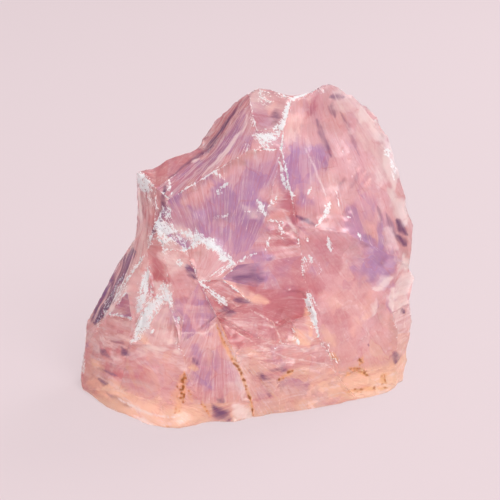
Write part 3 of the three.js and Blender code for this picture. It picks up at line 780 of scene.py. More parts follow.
# Bruised ridges, as corners passed in turn, with the frost's strength and its width in mm.
FROSTED_RIDGES = (
    ("left_hump_foot left_hump left_hump_end", 0.7, 0.5),
    ("left_hump_end notch right_hump_start right_hump", 1.0, 0.8),
    ("right_hump crest crest_end right_shoulder right_arm", 0.45, 0.4),
    ("left_hump_foot hump_base hump_low", 0.6, 0.5),
    ("hump_low ridge_top", 0.7, 0.4),
    ("window_brow_b window_brow_c", 0.7, 0.4),
    ("notch ridge_top window_brow_c", 0.9, 0.35),
    ("window_brow_c ridge_a", 0.8, 0.45),
    ("window_brow_c window_right", 0.5, 0.2),
    ("ridge_a ridge_b ridge_c", 0.55, 0.35),
    ("ridge_c ridge_d", 0.6, 0.5),
    ("ridge_d ridge_e ridge_f", 1.0, 0.75),
    ("ridge_f ridge_end", 0.5, 0.7),
    ("window_sill ridge_b", 0.5, 0.25),
    ("spur_heel window_left window_brow_a window_brow_b", 0.8, 0.5),
    ("spur_heel strip_mid", 0.45, 0.3),
    ("spur_tip spur_top", 0.6, 0.4),
    ("spur_tip spur_heel", 0.9, 0.8),
    ("spur_heel strip_a", 0.7, 0.5),
    ("window_left strip_a", 0.8, 0.6),
    ("strip_a strip_b strip_c strip_d", 0.95, 0.9),
    ("strip_d left_ankle left_foot", 0.75, 0.45),
    ("strip_a burst_left", 0.6, 0.5),
    ("strip_a chute_top burst_left", 0.8, 0.6),
    ("burst_left burst_top burst_right", 0.7, 0.5),
    ("burst_right lens_left", 0.6, 0.5),
    ("lens_left fan_apex", 0.75, 0.6),
    ("burst_left fan_apex", 0.6, 0.45),
    ("lens_left lens_tip", 0.85, 0.6),
    ("fan_apex fan_shoulder", 0.45, 0.3),
    ("fan_apex fan_side fan_left", 0.5, 0.35),
    ("chute_top streak_top", 0.7, 0.5),
    ("streak_left streak_top", 0.5, 0.5),
    ("streak_left streak_end", 0.6, 0.4),
    ("streak_top streak_end", 0.6, 0.4),
    ("streak_left strip_b", 0.6, 0.5),
    ("pane_left pane_top", 0.8, 0.6),
    ("pane_left pane_right", 0.95, 0.6),
    ("pane_top pane_right", 0.4, 0.3),
    ("fan_left fan_heel", 0.5, 0.5),
    ("fan_left streak_end", 0.45, 0.4),
    ("step_c step_d", 0.45, 0.35),
    ("fan_edge step_d", 0.4, 0.25),
    ("upper_nick chip_a chip_b chip_c chip_d", 0.45, 0.5),
    ("right_bulge upper_nick upper_lobe middle_nick lower_lobe lower_nick", 0.5, 0.6),
)
RUSTED_RIDGES = (
    ("fan_shoulder fan_edge", 0.7, 0.3),
    ("fan_edge fan_end", 1.0, 0.35),
    ("fan_end foot_d", 0.7, 0.35),
)
PLAIN_RIDGE = (0.28, 0.3)     # frost of any other ridge
CLEAN_RIDGE = (0, 1)          # rust of any other ridge
BRUISE_PATCH = 2.0            # mm from one patch of a bruise to the next
SOFT_LOSS = 0.7               # share of its frost that a soft ridge has lost
FACING = (-0.25, 0)           # cosines to the gaze between which strokes fade in

# Strokes on the front: width in mm, strength, then the points passed, each as x and height in mm.
# Heights are measured square to a gaze that comes down on the front at BRUSH_TILT.
BRUSH_TILT = math.radians(20)
STROKE_BEND = 1.3             # how far a stroke strays, in its own widths
STROKE_TAPER = 0.6            # how much of its width a stroke loses towards its ends
STROKE_BENDS = (2.4, 0.9)     # mm from one bend to the next, for the wide bends and the narrow ones
STROKE_REACH = {"lavender": 3.6, "plum": 2.6, "peach": 3.0, "pale": 2.4, "frost": 2.8,
                "rust": 2.6, "rosy": 4.5}   # where a stroke has faded out, in its own widths
STROKES = {
    # Lavender: cool zones, partly painted reflections.
    "lavender": (
        (1, 0.9, -0.5, 54.5, -3, 50, -10.5, 41.5), (0.8, 0.7, 0.5, 50, -3, 46),
        (2, 0.9, 3.5, 44.5, -0.5, 33.5), (2, 0.8, -6.5, 38, -4.5, 29.5), (2, 0.5, -13, 36, -9.5, 31),
        (1.8, 0.9, 10, 49, 9, 44.5, 11, 38), (1.5, 0.8, 10, 49, 13.5, 42), (2, 0.6, 11, 46.5, 13, 41),
        (1.4, 0.9, 12, 48, 16, 44), (1.8, 0.8, 20.5, 36, 23, 28.5), (1.5, 0.8, 22, 40.5, 24.5, 33.5),
        (1.5, 0.8, 27.5, 33.5, 28.5, 29), (2.4, 1, 24, 29.5, 27.5, 21.5), (2, 0.5, 17, 44, 23, 38),
        (1.5, 0.6, 22, 32, 21, 24), (1.5, 0.7, 21.5, 28.5, 24.5, 22), (1.2, 0.9, 28.5, 27.5, 29, 23.5),
        (1.2, 0.5, 27, 17, 28.5, 14.5), (1.5, 1, -2.5, 23, 3, 22.5), (1.4, 0.9, -1.5, 25.5, 4, 26),
        (1.6, 0.9, -10, 19, -8, 12.5), (1.4, 0.8, -9.5, 9, -7.5, 0.5), (1.6, 0.6, -17, 14, -12, 18),
        (1.5, 0.5, 3, 22.5, 8, 24), (0.8, 0.5, 12.5, 24, 13, 23), (1, 0.4, -4, 5.5, -1.5, 1.5),
        (1.5, 0.6, 7, 2, 11.5, 0.5), (0.6, 0.6, -32.5, 8.5, -32.5, 7), (1.5, 0.4, -9, 14, -8, 10),
    ),
    # Plum: dark streaks, and painted shade along the left strip and outline.
    "plum": (
        (0.4, 0.75, -1, 56.5, -4.5, 52.5, -8, 47.5, -15.5, 42), (0.3, 0.6, 1.5, 59.5, -4.5, 53),
        (0.5, 0.6, -6.5, 53, -8.5, 49.5), (0.8, 0.4, -2.5, 53.5, -8, 46),
        (0.6, 0.8, -16, 40, -17, 35, -19, 29.5), (0.8, 0.6, 5.5, 55, 6, 51),
        (1.4, 1.1, -23, 27.5, -25.5, 24, -28.5, 17.5, -31.5, 13.5), (1, 0.8, -25, 8, -23.5, 7),
        (0.6, 0.7, -30, 1.5, -28, 1), (0.4, 0.5, -28, 5, -23.5, 3.5), (0.8, 0.9, -12, 24.5, -10, 22),
        (1.5, 0.8, -3, 22.5, 2.5, 22.5), (0.9, 0.8, -5, 16, -2.5, 15.5), (0.5, 1, -2.5, 18, 0.5, 17.5),
        (0.6, 0.7, -10.5, 6.5, -9.5, 5.5), (1.2, 0.9, -6.5, -3.5, -3.5, -6),
        (0.8, 0.8, -6, -1.5, -5, -2), (1, 0.7, 2.5, 3.5, 4.5, -0.5), (0.4, 0.6, 0.5, 4.5, 1, 3.5),
        (0.7, 0.7, 13.5, 53, 15, 50, 16.5, 46), (1.4, 0.35, 15, 52, 16.5, 45),
        (0.5, 0.5, 18, 40, 19.5, 42), (0.5, 0.5, 20.5, 40, 22, 43), (0.5, 0.9, 16.5, 58, 19, 58),
        (0.7, 0.7, 17, 57, 17, 54), (0.45, 0.6, 18.5, 55, 20, 52, 21, 49, 22.5, 46.5),
        (0.7, 0.9, 30.5, 33.5, 32.5, 30.5), (0.6, 0.9, 30.5, 30.5, 32.5, 28.5),
        (0.6, 0.7, 28, 34.5, 30.5, 29.5), (0.4, 0.6, 26, 36.5, 27, 33.5),
        (0.4, 0.8, 9.5, 34.5, 13.5, 32.5), (0.3, 0.5, 14.5, 32, 17.5, 31.5),
        (0.8, 0.8, 30, 6.5, 30.5, 4.5), (0.5, 0.9, 32, 15.5, 32.5, 14.5), (0.25, 1, 24.5, 8, 24.5, 8.5),
        (0.5, 0.3, -20, 42, -20.5, 36), (0.5, 0.6, -31, 8, -27, 5.5), (0.4, 0.6, -30.5, 3.5, -26, 2.5),
        (0.5, 0.5, -27.5, 9.5, -24.5, 9), (0.4, 0.5, -24, 2, -20, 1), (0.4, 0.5, -28.5, -1, -23, -3.5),
        (0.4, 0.5, -20, 11.5, -17.5, 10), (0.5, 0.5, 4, 4.5, 7.5, 4),
    ),
    # Peach: warm zones, partly painted highlights and glow on the steps and near the foot.
    "peach": (
        (0.4, 1, -2, 54, -6, 49, -9, 45.5), (1, 1, 5, 56, 4.5, 54), (1.3, 1, -12.5, 37.5, -7, 40),
        (3, 0.4, -15, 36, -11, 30), (1.3, 0.8, -6, 43, -0.5, 46), (1, 0.6, -0.5, 46, 5, 47),
        (2, 1, 9, 53, 8, 48), (1.5, 0.8, 9.5, 54, 10.5, 51.5), (2.6, 0.8, 17, 41, 21.5, 42.5),
        (1.2, 0.6, 19, 47, 20.5, 43), (0.5, 0.9, 17, 38.5, 20, 43), (0.5, 0.9, 18.5, 38, 22.5, 44),
        (0.4, 0.8, 20.5, 38.5, 23.5, 43.5), (0.4, 0.8, 22.5, 39, 24.5, 42), (1.5, 0.4, 3, 13.5, 9, 11),
        (1.5, 0.7, 15.5, 37.5, 18.5, 35.5), (0.8, 1, 24, 33.5, 25, 30.5), (1.2, 0.9, 5.5, 40, 5, 36.5),
        (0.8, 1, 4, 34, 8, 34.5), (1, 1, -1.5, 19, 1.5, 18.5, 4, 17.5), (2, 0.6, 13.5, 19.5, 18.5, 17.5),
        (0.7, 1, 11.5, 16, 12.5, 11), (1, 0.9, 9.5, 12, 12, 8.5), (1.4, 0.5, 25, 19, 24, 14),
        (1.2, 0.6, 22, 14, 21.5, 10), (2, 0.8, 12.5, 0, 19.5, 0.5), (0.8, 1, 22.5, -1.5, 27.5, -1),
        (1.2, 0.9, -31.5, 0.5, -24, -1.5), (1, 0.8, -23, -3, -19, -6), (0.4, 0.9, -11.5, 5, -9.5, 4.5),
        (0.5, 0.7, -22, 11, -19, 9), (0.6, 0.7, -32, 5, -29, 3), (1.2, 0.5, 15.5, 12.5, 17, 9),
        (0.5, 0.7, 11.5, 18, 12, 14), (1, 0.5, -4, 11, -2, 8),
    ),
    # Pale: milky zones, with painted highlight lines and a painted rim light at the right end.
    "pale": (
        (1.5, 0.4, 9.5, 53, 8, 48), (2.6, 0.5, 18, 58.5, 22, 55.5), (2.6, 0.5, 22, 52, 25, 48),
        (1.5, 0.8, -14, 33, -11, 30), (1.5, 0.7, -17, 26, -12, 24), (1.5, 0.8, -18, 21, -15, 18),
        (1, 0.6, -1, 36, 2, 34), (1.2, 0.5, 2, 37, 4, 33), (0.3, 1, 0, 54, -1, 51, -3.5, 48, -9, 42),
        (0.25, 1, -2, 49.5, -6, 44.5), (0.3, 1, -11, 45, -9.5, 45.5),
        (0.5, 0.8, -21.5, 39.5, -21.5, 33.5), (0.4, 0.7, -19.5, 39, -19.5, 34.5),
        (0.15, 0.6, -13, 11.5, -8, 11.5, -6, 13.5), (0.8, 0.5, -27, 5, -22, 7),
        (1.2, 0.6, -22, 7, -15.5, 9), (1.2, 0.6, -14.5, 8, -12.5, 4.5), (1.5, 0.8, -2.5, -3, 0.5, -6),
        (0.2, 0.7, 11, 48, 13.5, 43, 15.5, 38), (1.5, 0.5, 20.5, 57, 23, 55),
        (2.8, 0.9, 24, 55, 27.5, 49.5), (2.2, 1, 27.5, 49, 30, 41.5), (1.5, 0.9, 29, 40, 32.5, 32.5),
        (1.4, 0.6, 28, 32, 29.5, 28), (1.5, 0.5, 25.5, 49, 26.5, 41.5), (1, 0.8, 25.5, 20, 29.5, 22),
        (1, 0.7, 26, 17, 25.5, 15), (1.5, 1, 32, 26.5, 32.5, 23.5), (1.2, 0.9, 29.5, 19.5, 29.5, 15.5),
        (1, 0.6, 31.5, 16, 32, 12), (0.15, 0.6, -2.5, 12, 2, 9, 7.5, 6.5, 15.5, 5, 18.5, 2.5),
        (0.15, 0.7, 0.5, 16, 5, 13.5, 7, 9), (0.12, 0.6, 2.5, 9.5, 10, 8.5, 14, 6),
        (2, 0.5, -3, 8, 0, -1), (0.4, 0.7, 7, 35, 9.5, 31), (0.2, 0.8, -26, -2, -19, -4.5, -14, -5),
        (0.4, 0.9, -22.5, -5, -18.5, -6.5),
    ),
    "frost": (
        (1.1, 0.9, -12.5, 31.5, -9.5, 30.5), (0.4, 0.8, -33.5, 13, -34, 6, -33.5, 2),
        (0.5, 0.9, 2, 37.5, 3.5, 34.5), (0.5, 0.7, 5.5, 38, 4, 36), (0.5, 0.7, 6, 33, 7, 29.5),
        (1.3, 1.1, -21.5, 42.5, -19.5, 39.5), (0.6, 0.7, -20, 38.5, -18, 36),
        (0.8, 0.7, -19, 40.5, -18.5, 40), (0.4, 0.9, -15.5, 41, -15, 38.5), (0.9, 0.7, 3, 59.5, 3.5, 56),
        (0.7, 0.6, 2, 57, 5, 56.5), (0.6, 0.7, 0.5, 53.5, 1.5, 51.5), (0.6, 0.6, 5, 59, 6, 58),
        (0.5, 1, 8, 57, 7, 52.5, 6, 49.5), (1.2, 0.95, 1.5, 50, 3.5, 49, 6, 50),
        (0.7, 0.8, 6, 52, 6, 50), (0.5, 0.7, 2.5, 48.5, 3, 47.5), (0.5, 0.7, 0, 48.5, 0, 46.5),
        (0.3, 0.9, -6.5, 43, -4.5, 41.5), (0.3, 1, -6, 39, -3.5, 41), (0.3, 0.9, -6, 38.5, -4.5, 39),
        (0.35, 0.7, -7, 34, -3.5, 34.5), (0.35, 0.6, -0.5, 35, 3.5, 35.5),
        (1.6, 1, -18, 32.5, -13.5, 31.5), (1.4, 0.8, -17, 30, -13, 29), (0.8, 0.8, -16, 36, -15.5, 33.5),
        (1, 1, -11.5, 28, -9.5, 30, -6.5, 28.5, -3, 25.5), (0.6, 0.8, -3, 25, -7.5, 22.5),
        (1, 1, -20, 23.5, -20.5, 20, -21, 16), (1, 0.8, -16.5, 21.5, -15, 17),
        (0.7, 0.8, -24, 22, -26.5, 17), (1, 1, -15.5, 18, -17, 18, -19.5, 15, -23, 9.5),
        (0.5, 0.9, -13.5, 26, -13, 24.5), (0.5, 0.8, -13.5, 14.5, -13.5, 13.5),
        (0.6, 0.9, -7, 19, -4, 17), (0.4, 0.9, -19, 12, -18.5, 11), (0.5, 0.8, 11, 26, 11, 23),
        (0.5, 0.9, 12, 26.5, 12.5, 25), (0.7, 1, 11.5, 19.5, 12.5, 17, 14, 11.5),
        (0.4, 1, 16, 28.5, 16.5, 27.5), (0.4, 0.6, 14, 25, 14.5, 23), (0.5, 0.7, 16.5, 7, 18, 5),
        (0.8, 0.5, 15, 9.5, 16.5, 7.5), (0.3, 0.8, 8.5, 13, 10.5, 8.5), (0.3, 0.7, 5, 8.5, 6, 8.5),
        (0.3, 0.8, -2.5, 25, 2, 27), (0.6, 0.7, 14, 59.5, 15, 58.5), (0.4, 0.9, 6, 45.5, 7, 41.5, 9, 38),
        (0.5, 1, 16.5, 37, 15.5, 35.5, 13.5, 32.5), (0.3, 0.9, 17.5, 39.5, 18, 36.5),
        (0.3, 0.9, 19.5, 34.5, 20.5, 34), (0.4, 1, 15.5, 30.5, 16.5, 27.5),
        (0.4, 0.9, 11.5, 30.5, 12, 29.5), (0.25, 0.9, 12.5, 40, 12, 38.5), (0.3, 0.9, 4, 33.5, 7, 33),
        (0.3, 0.8, 4.5, 30.5, 3.5, 27.5), (0.25, 0.8, 20.5, 42.5, 21, 42), (0.25, 1, 22, 31, 22.5, 30),
        (0.6, 0.9, 27.5, 48, 28.5, 46.5), (0.5, 0.8, 29, 46, 29.5, 42), (0.8, 0.5, 0.5, 59, 7, 60),
        (0.4, 0.9, -9.5, 21.5, -4.5, 17.5), (0.6, 0.6, -28, 18, -31, 11), (0.5, 0.6, -25, 23, -28, 17.5),
        (0.8, 0.6, -18, 34, -19.5, 29), (0.6, 0.6, -16.5, 29, -16, 25), (0.5, 0.5, -14.5, 10, -12.5, 7),
        (1, 0.5, 9, 59, 13, 60.5), (0.5, 0.6, -20.5, 24, -19, 24), (0.8, 0.5, -17, 20, -14.5, 16),
    ),
    "rust": (
        (0.6, 1, -12.5, 4, -12.5, -2), (1.4, 0.7, -13, 2, -13.5, -3.5), (0.7, 0.6, -11.5, 0.5, -11, -2),
        (0.3, 1.1, -6, 13, -4.5, 9.5, -1.5, 3.5), (0.8, 0.5, -5, 10.5, -3, 6),
        (0.3, 1, -2.5, 6.5, -0.5, 1.5, 1, -3), (0.3, 0.8, -9, -2, -7, -5.5),
        (0.3, 0.7, -16, -6.5, -14.5, -7.5), (0.5, 1, 7.5, 3, 9, 4), (0.5, 0.8, 6, 2, 7.5, 3),
        (0.6, 1, 20, 3, 20.5, 2.5), (0.4, 1.1, 20.5, 4, 24.5, 2), (1.2, 0.6, 21.5, 4, 23.5, 2.5),
        (0.8, 0.9, 22.5, 5.5, 23.5, 5), (0.9, 0.9, 27.5, 2, 28.5, 0.5), (0.5, 0.8, 16.5, 7, 18, 5.5),
        (0.4, 0.8, 20, -1, 28.5, -0.5), (2, 0.3, -0.5, 6, 2, 1),
    ),
    "rosy": (
        (1.2, 0.8, 1, 20.5, 5, 20), (1.2, 0.6, 5, 31, 9, 29), (1, 1, -18, 25, -17.5, 21, -18, 18.5),
        (0.7, 1, -15.5, 14, -14, 11), (0.5, 1, -8.5, 20.5, -6, 17), (2, 0.5, 13, 22, 8, 18),
        (1.6, 0.4, 16, 14, 20.5, 12.5), (1, 0.8, 12, 56, 13, 55.5), (1.5, 0.6, -26, 11, -29, 7),
        (1.5, 0.6, -30, 4, -25, 3), (1.2, 0.6, -24, 5.5, -20, 4), (1, 0.6, 8, 38, 10, 33),
        (1.5, 0.5, -15, 46, -19, 43), (1.5, 0.6, 13, 30, 18, 24),
    ),
}


def ridge_table(paths, plain):
    """Strength and width for every ridge number, from paths of corner names."""
    table = np.tile(np.array(plain, float), (len(RIDGES) + 1, 1))
    for names, strength, width in paths:
        corners = names.split()
        for pair in zip(corners, corners[1:]):
            table[RIDGES[frozenset(pair)]] = strength, width
    return table


def along_ridges(paths, plain, gap, ridge):
    """Strength that falls off exponentially from the nearest ridge, over that ridge's width."""
    strength, width = ridge_table(paths, plain)[ridge].T
    return strength * np.exp(-gap / width)


def strokes(kind, spots, facing):
    """Greatest strength at each spot of the strokes of a kind, soft-edged and thinner at the ends."""
    height = spots[:, 2] * math.cos(BRUSH_TILT) + spots[:, 1] * math.sin(BRUSH_TILT)
    places = np.stack((spots[:, 0], height), axis=1)
    wide, narrow = STROKE_BENDS
    bend = np.stack([noise(spots, wide, seed) - 0.5 for seed in (21, 22)], axis=1)
    bend += 0.5 * np.stack([noise(spots, narrow, seed) - 0.5 for seed in (23, 24)], axis=1)
    total = np.zeros(len(spots))
    reach = STROKE_REACH[kind]
    for width, strength, *path in STROKES[kind]:
        path = np.array(path, float).reshape(-1, 2)
        lengths = np.linalg.norm(np.diff(path, axis=0), axis=1)
        passed = 0
        bent = places + STROKE_BEND * width * bend
        for start, run, length in zip(path, np.diff(path, axis=0), lengths):
            share = np.clip((bent - start) @ run / length ** 2, 0, 1)
            apart = np.linalg.norm(bent - start - share[:, None] * run, axis=1)
            middling = 2 * (passed + share * length) / lengths.sum() - 1
            breadth = width * (1 - STROKE_TAPER * middling ** 2)
            total = np.maximum(total, strength * (1 - smooth(0, reach, apart / breadth)))
            passed += length
    return total * facing


# ---------------------------------------------------------------------------------------------
# Veils: thin healed cracks sealed inside the stone
# ---------------------------------------------------------------------------------------------

# Middle of each veil and its radius, in mm, then the turn and the lean of its normal, in degrees:
# unturned and unleaning it faces the front.
VEILS = (
    ((-5, 3.5, 35), 8, 25, -15), ((14, 5, 38), 7, -20, 10), ((20, 6, 24), 7, 30, -10),
    ((-18, 4, 13), 6, -15, 15), ((2, 1, 13), 8, 15, -30), ((8, 3, 27), 9, -60, 15),
)
VEIL_THICKNESS = 0.12         # mm from the middle sheet to either side, at the middle
VEIL_WAVE = 2.0               # mm, greatest height of its waves
VEIL_WAVELENGTH = 4           # mm
VEIL_RINGS, VEIL_SPOKES = 32, 72


def veil(number, middle, radius, turn, lean):
    """Spots and triangles of a thin wavy lens, closed at its lobed rim.

    At angle a and at t from 0, its front pole, to pi, its back pole, a spot lies
    radius * sin(t) * lobes(a) off the axis and thickness * cos(t) + waves along it.
    """
    t = np.pi * np.arange(1, VEIL_RINGS) / VEIL_RINGS
    a = 2 * np.pi * np.arange(VEIL_SPOKES) / VEIL_SPOKES
    lobes = 0.6 + 0.8 * noise(np.stack((np.cos(a), np.sin(a), 0 * a + number), axis=1) * 1.5, 1, 41)
    t, a, lobes = np.repeat(t, VEIL_SPOKES), np.tile(a, VEIL_RINGS - 1), np.tile(lobes, VEIL_RINGS - 1)
    away = radius * np.sin(t) * lobes
    flat = np.stack((away * np.cos(a), away * np.sin(a), VEIL_THICKNESS * np.cos(t)), axis=1)
    flat = np.concatenate((flat, ((0, 0, VEIL_THICKNESS), (0, 0, -VEIL_THICKNESS))))
    sheet = np.stack((flat[:, 0], flat[:, 1], np.full(len(flat), 9.0 * number)), axis=1)
    flat[:, 2] += VEIL_WAVE * (noise(sheet, VEIL_WAVELENGTH, 42) - 0.5)
    turn, lean = math.radians(turn), math.radians(lean)
    across = np.array((math.cos(turn), math.sin(turn), 0))
    normal = np.array((math.sin(turn) * math.cos(lean), -math.cos(turn) * math.cos(lean),
                       math.sin(lean)))
    spots = np.array(middle) + flat @ np.stack((across, np.cross(normal, across), normal))
    ring = np.arange(VEIL_SPOKES)
    after = np.roll(ring, -1)
    rows = VEIL_SPOKES * np.arange(VEIL_RINGS - 2)[:, None]
    a, b, c, d = rows + ring, rows + VEIL_SPOKES + ring, rows + VEIL_SPOKES + after, rows + after
    last = VEIL_SPOKES * (VEIL_RINGS - 2)
    front, back = np.full(VEIL_SPOKES, len(spots) - 2), np.full(VEIL_SPOKES, len(spots) - 1)
    triangles = [np.stack(column, axis=-1).reshape(-1, 3) for column in (
        (a, b, c), (a, c, d), (front, ring, after), (back, last + after, last + ring))]
    return spots, np.concatenate(triangles)


def veils_mesh():
    """All the veils as one piece."""
    spots, triangles = [], []
    for number, row in enumerate(VEILS):
        own_spots, own_triangles = veil(number, *row)
        triangles.append(own_triangles + sum(len(part) for part in spots))
        spots.append(own_spots)
    return make_mesh_object("rose_quartz_veils", np.concatenate(spots), np.concatenate(triangles))


# ---------------------------------------------------------------------------------------------
# Meshes
# ---------------------------------------------------------------------------------------------

def make_mesh_object(name, spots, triangles):
    """A mesh object at the origin from millimetre spots and triangles."""
    mesh = bpy.data.meshes.new(name)
    mesh.vertices.add(len(spots))
    mesh.vertices.foreach_set("co", (spots * MM).astype(np.float32).ravel())
    mesh.loops.add(triangles.size)
    mesh.loops.foreach_set("vertex_index", triangles.astype(np.int32).ravel())
    mesh.polygons.add(len(triangles))
    mesh.polygons.foreach_set("loop_start", np.arange(0, triangles.size, 3, dtype=np.int32))
    mesh.update(calc_edges=True)
    mesh.polygons.foreach_set("use_smooth", np.ones(len(triangles), dtype=bool))
    piece = bpy.data.objects.new(name, mesh)
    bpy.context.scene.collection.objects.link(piece)
    return piece


def add_vectors(mesh, name, *parts):
    """A vector attribute from three arrays with a value for every corner of every triangle."""
    attribute = mesh.attributes.new(name, "FLOAT_VECTOR", "CORNER")
    attribute.data.foreach_set("vector", np.stack(parts, axis=1).astype(np.float32).ravel())


def stone_mesh(look):
    """The stone's outside with its relief, and the amounts that paint it at every corner."""
    spots, owner, triangles, faces, soft = settled_stone()
    gap, ridge = ridge_gaps(spots, owner)
    normals = vertex_normals(spots, triangles)
    scar_depth, scar_look = scars(spots, normals, owner)
    patchy = 0.3 + 1.4 * noise(spots, BRUISE_PATCH, 31)
    frost = along_ridges(FROSTED_RIDGES, PLAIN_RIDGE, gap, ridge) * patchy
    frost = frost * (1 - SOFT_LOSS * soft)
    rust = along_ridges(RUSTED_RIDGES, CLEAN_RIDGE, gap, ridge) * patchy
    sunk = scar_depth * smooth(0, SCAR_FADE, gap) * smooth(0, FOOT_FADE, spots[:, 2])
    height = relief(spots, owner, gap, frost, look) - np.where(owner < 0, 0, sunk)
    spots = spots + normals * np.where(owner == RESTING, 0, height)[:, None]
    gaze = np.array((0, -math.cos(BRUSH_TILT), math.sin(BRUSH_TILT)))
    facing = smooth(*FACING, normals @ gaze)
    loops, loop_faces = triangles.ravel(), np.repeat(faces, 3)
    painted = {kind: strokes(kind, spots, facing)[loops] for kind in STROKES}
    face_tints = np.array([tints for _, _, tints in FACES])
    *tints, combed = blended(face_tints[loop_faces], triangles, soft).T
    lavender, peach, plum, pale, rosy = (
        np.maximum(tint, painted[kind]) for tint, kind in zip(tints, TINTS))
    frost = np.maximum(frost[loops], painted["frost"])
    rust = np.maximum(rust[loops], painted["rust"])
    calm = np.array([names.split()[0] in CALM_FACES.split() for _, names, _ in FACES])
    layered = (1 - smooth(0, FULLY_COMBED, combed)) * np.where(calm, CALM, 1)[loop_faces]
    piece = make_mesh_object("rose_quartz_surface", spots, triangles)
    add_vectors(piece.data, "tint", lavender, peach, plum)
    add_vectors(piece.data, "marks", pale, frost, rust)
    add_vectors(piece.data, "scar", *scar_look[loops].T, np.zeros(len(loops)))
    add_vectors(piece.data, "manner", rosy, combed, layered)
    add_vectors(piece.data, "grain", *grain_of(spots[loops], loop_faces), loop_faces * GRAIN_STRIDE)
    piece.data.set_sharp_from_angle(angle=look.crease)
    return piece


# ---------------------------------------------------------------------------------------------
# Shader expressions
# ---------------------------------------------------------------------------------------------

SEAM_WIDTH = 0.035            # of a seam, as a part of the size of its cells


def arithmetic(operation, swapped=False):
    """Python operator that adds a Math node, with its own side first or, when swapped, last."""
    def operator(socket, other):
        return socket.math(operation, *((other, socket) if swapped else (socket, other)))

    return operator


class Socket:
    """Output of a node that adds Math nodes when it stands in a Python expression."""

    def __init__(self, tree, output):
        self.tree = tree
        self.output = output

    def math(self, operation, *values):
        """Result of this operation on values that are numbers or sockets."""
        return self.tree.node("ShaderNodeMath", {"operation": operation}, dict(enumerate(values)))

    __add__, __radd__ = arithmetic("ADD"), arithmetic("ADD", swapped=True)
    __sub__, __rsub__ = arithmetic("SUBTRACT"), arithmetic("SUBTRACT", swapped=True)
    __mul__, __rmul__ = arithmetic("MULTIPLY"), arithmetic("MULTIPLY", swapped=True)
    __truediv__ = arithmetic("DIVIDE")

    def stepped(self, low, high):
        """0 below low, 1 above high, and an S-shaped rise between them."""
        return self.tree.node("ShaderNodeMapRange", {"interpolation_type": "SMOOTHSTEP"},
                              {"Value": self, "From Min": low, "From Max": high})

    def part(self, number):
        """Another output of the same node."""
        return Socket(self.tree, self.output.node.outputs[number])


class Tree:
    """Node tree of a material or a world, emptied, to which nodes are added."""

    def __init__(self, owner):
        owner.use_nodes = True
        self.nodes = owner.node_tree.nodes
        self.links = owner.node_tree.links
        self.nodes.clear()

    def node(self, kind, settings=None, sockets=None, output=0):
        """Adds a node: its settings first, then the value or the link of each socket."""
        node = self.nodes.new(kind)
        for name, value in (settings or {}).items():
            setattr(node, name, value)
        for name, value in (sockets or {}).items():
            if isinstance(value, Socket):
                self.links.new(value.output, node.inputs[name])
            else:
                node.inputs[name].default_value = value
        return Socket(self, node.outputs[output]) if node.outputs else None

    def mix(self, factor, first, second):
        """Colour between two colours, each a link or three numbers."""
        first, second = (colour if isinstance(colour, Socket) else (*colour, 1)
                         for colour in (first, second))
        return self.node("ShaderNodeMix", {"data_type": "RGBA", "clamp_factor": True},
                         {0: factor, 6: first, 7: second}, output=2)

    def noise(self, vector, scale, detail, roughness=0.5, distortion=0.0):
        """Smooth noise from 0 to 1."""
        return self.node("ShaderNodeTexNoise", None, {
            "Vector": vector, "Scale": scale, "Detail": detail, "Roughness": roughness,
            "Distortion": distortion})

    def cells(self, vector, scale):
        """Three random numbers, the same all over each cell of a random mosaic."""
        return self.parts(self.node("ShaderNodeTexVoronoi", {"feature": "F1"}, {
            "Vector": vector, "Scale": scale}, output="Color"))

    def warped(self, vector, scale, reach):
        """The vector moved by up to half the reach along each axis, by a noise of this scale."""
        shift = self.node("ShaderNodeTexNoise", None, {"Vector": vector, "Scale": scale, "Detail": 2},
                          output="Color")
        return self.node("ShaderNodeVectorMath", {"operation": "MULTIPLY_ADD"}, {
            0: shift, 1: (reach, reach, reach), 2: vector})

    def bent(self, vector, bends):
        """The vector warped by bends of this spacing and reach, in mm."""
        spacing, reach = bends
        return self.warped(vector, per_mm(spacing), reach * MM)

    def seams(self, vector, scale):
        """1 on the borders of the cells of that mosaic, thin and soft."""
        distance = self.node("ShaderNodeTexVoronoi", {"feature": "DISTANCE_TO_EDGE"}, {
            "Vector": vector, "Scale": scale}, output="Distance")
        return 1 - distance.stepped(0.0, SEAM_WIDTH)

    def bump(self, strength, distance, height):
        """Normal of a surface raised by this height."""
        return self.node("ShaderNodeBump", None, {
            "Strength": strength, "Distance": distance, "Height": height})

    def scaled(self, vector, factors):
        """The vector with each of its parts times its own factor."""
        return self.node("ShaderNodeVectorMath", {"operation": "MULTIPLY"}, {0: vector, 1: factors})

    def parts(self, vector):
        """The three parts of a vector or colour."""
        first = self.node("ShaderNodeSeparateXYZ", None, {0: vector})
        return first, first.part(1), first.part(2)

    def vectors(self, name):
        """The three parts of a vector attribute."""
        return self.parts(self.node("ShaderNodeAttribute", {"attribute_name": name},
                                    output="Vector"))


# ---------------------------------------------------------------------------------------------
# Materials
# ---------------------------------------------------------------------------------------------

# Spacing of the features of each texture, in mm.
CLOUD_SIZE = 11
CHUNK_SIZE = 6
MOTTLE_SIZE = 3.5
WISP_SIZE = 2.5
FLAKE_SIZE = 1.7
DOT_SIZE = 0.7
SPECK_SIZE = 0.55
CRUMB_SIZE = 0.25

# Spacing and reach of the bends in a texture, in mm.
WISP_BENDS = (6, 8)
CHUNK_BENDS = (4, 5)
FLAKE_BENDS = (1.6, 2.2)

# Streaks, threads and shards per mm across and along the hackles of a face.
STREAK_SCALES = (0.9, 0.08, 1.0)
THREAD_SCALES = (2.8, 0.2, 1.0)
SHARD_SCALES = (0.28, 0.1, 1.0)

LAYER_SCALES = (110.0, 110.0, 560.0)   # wisps per metre along each axis of the layered quartz
FLAKE_SCALES = (1.0, 1.0, 1.7)         # how much flatter the flakes lie than they are wide
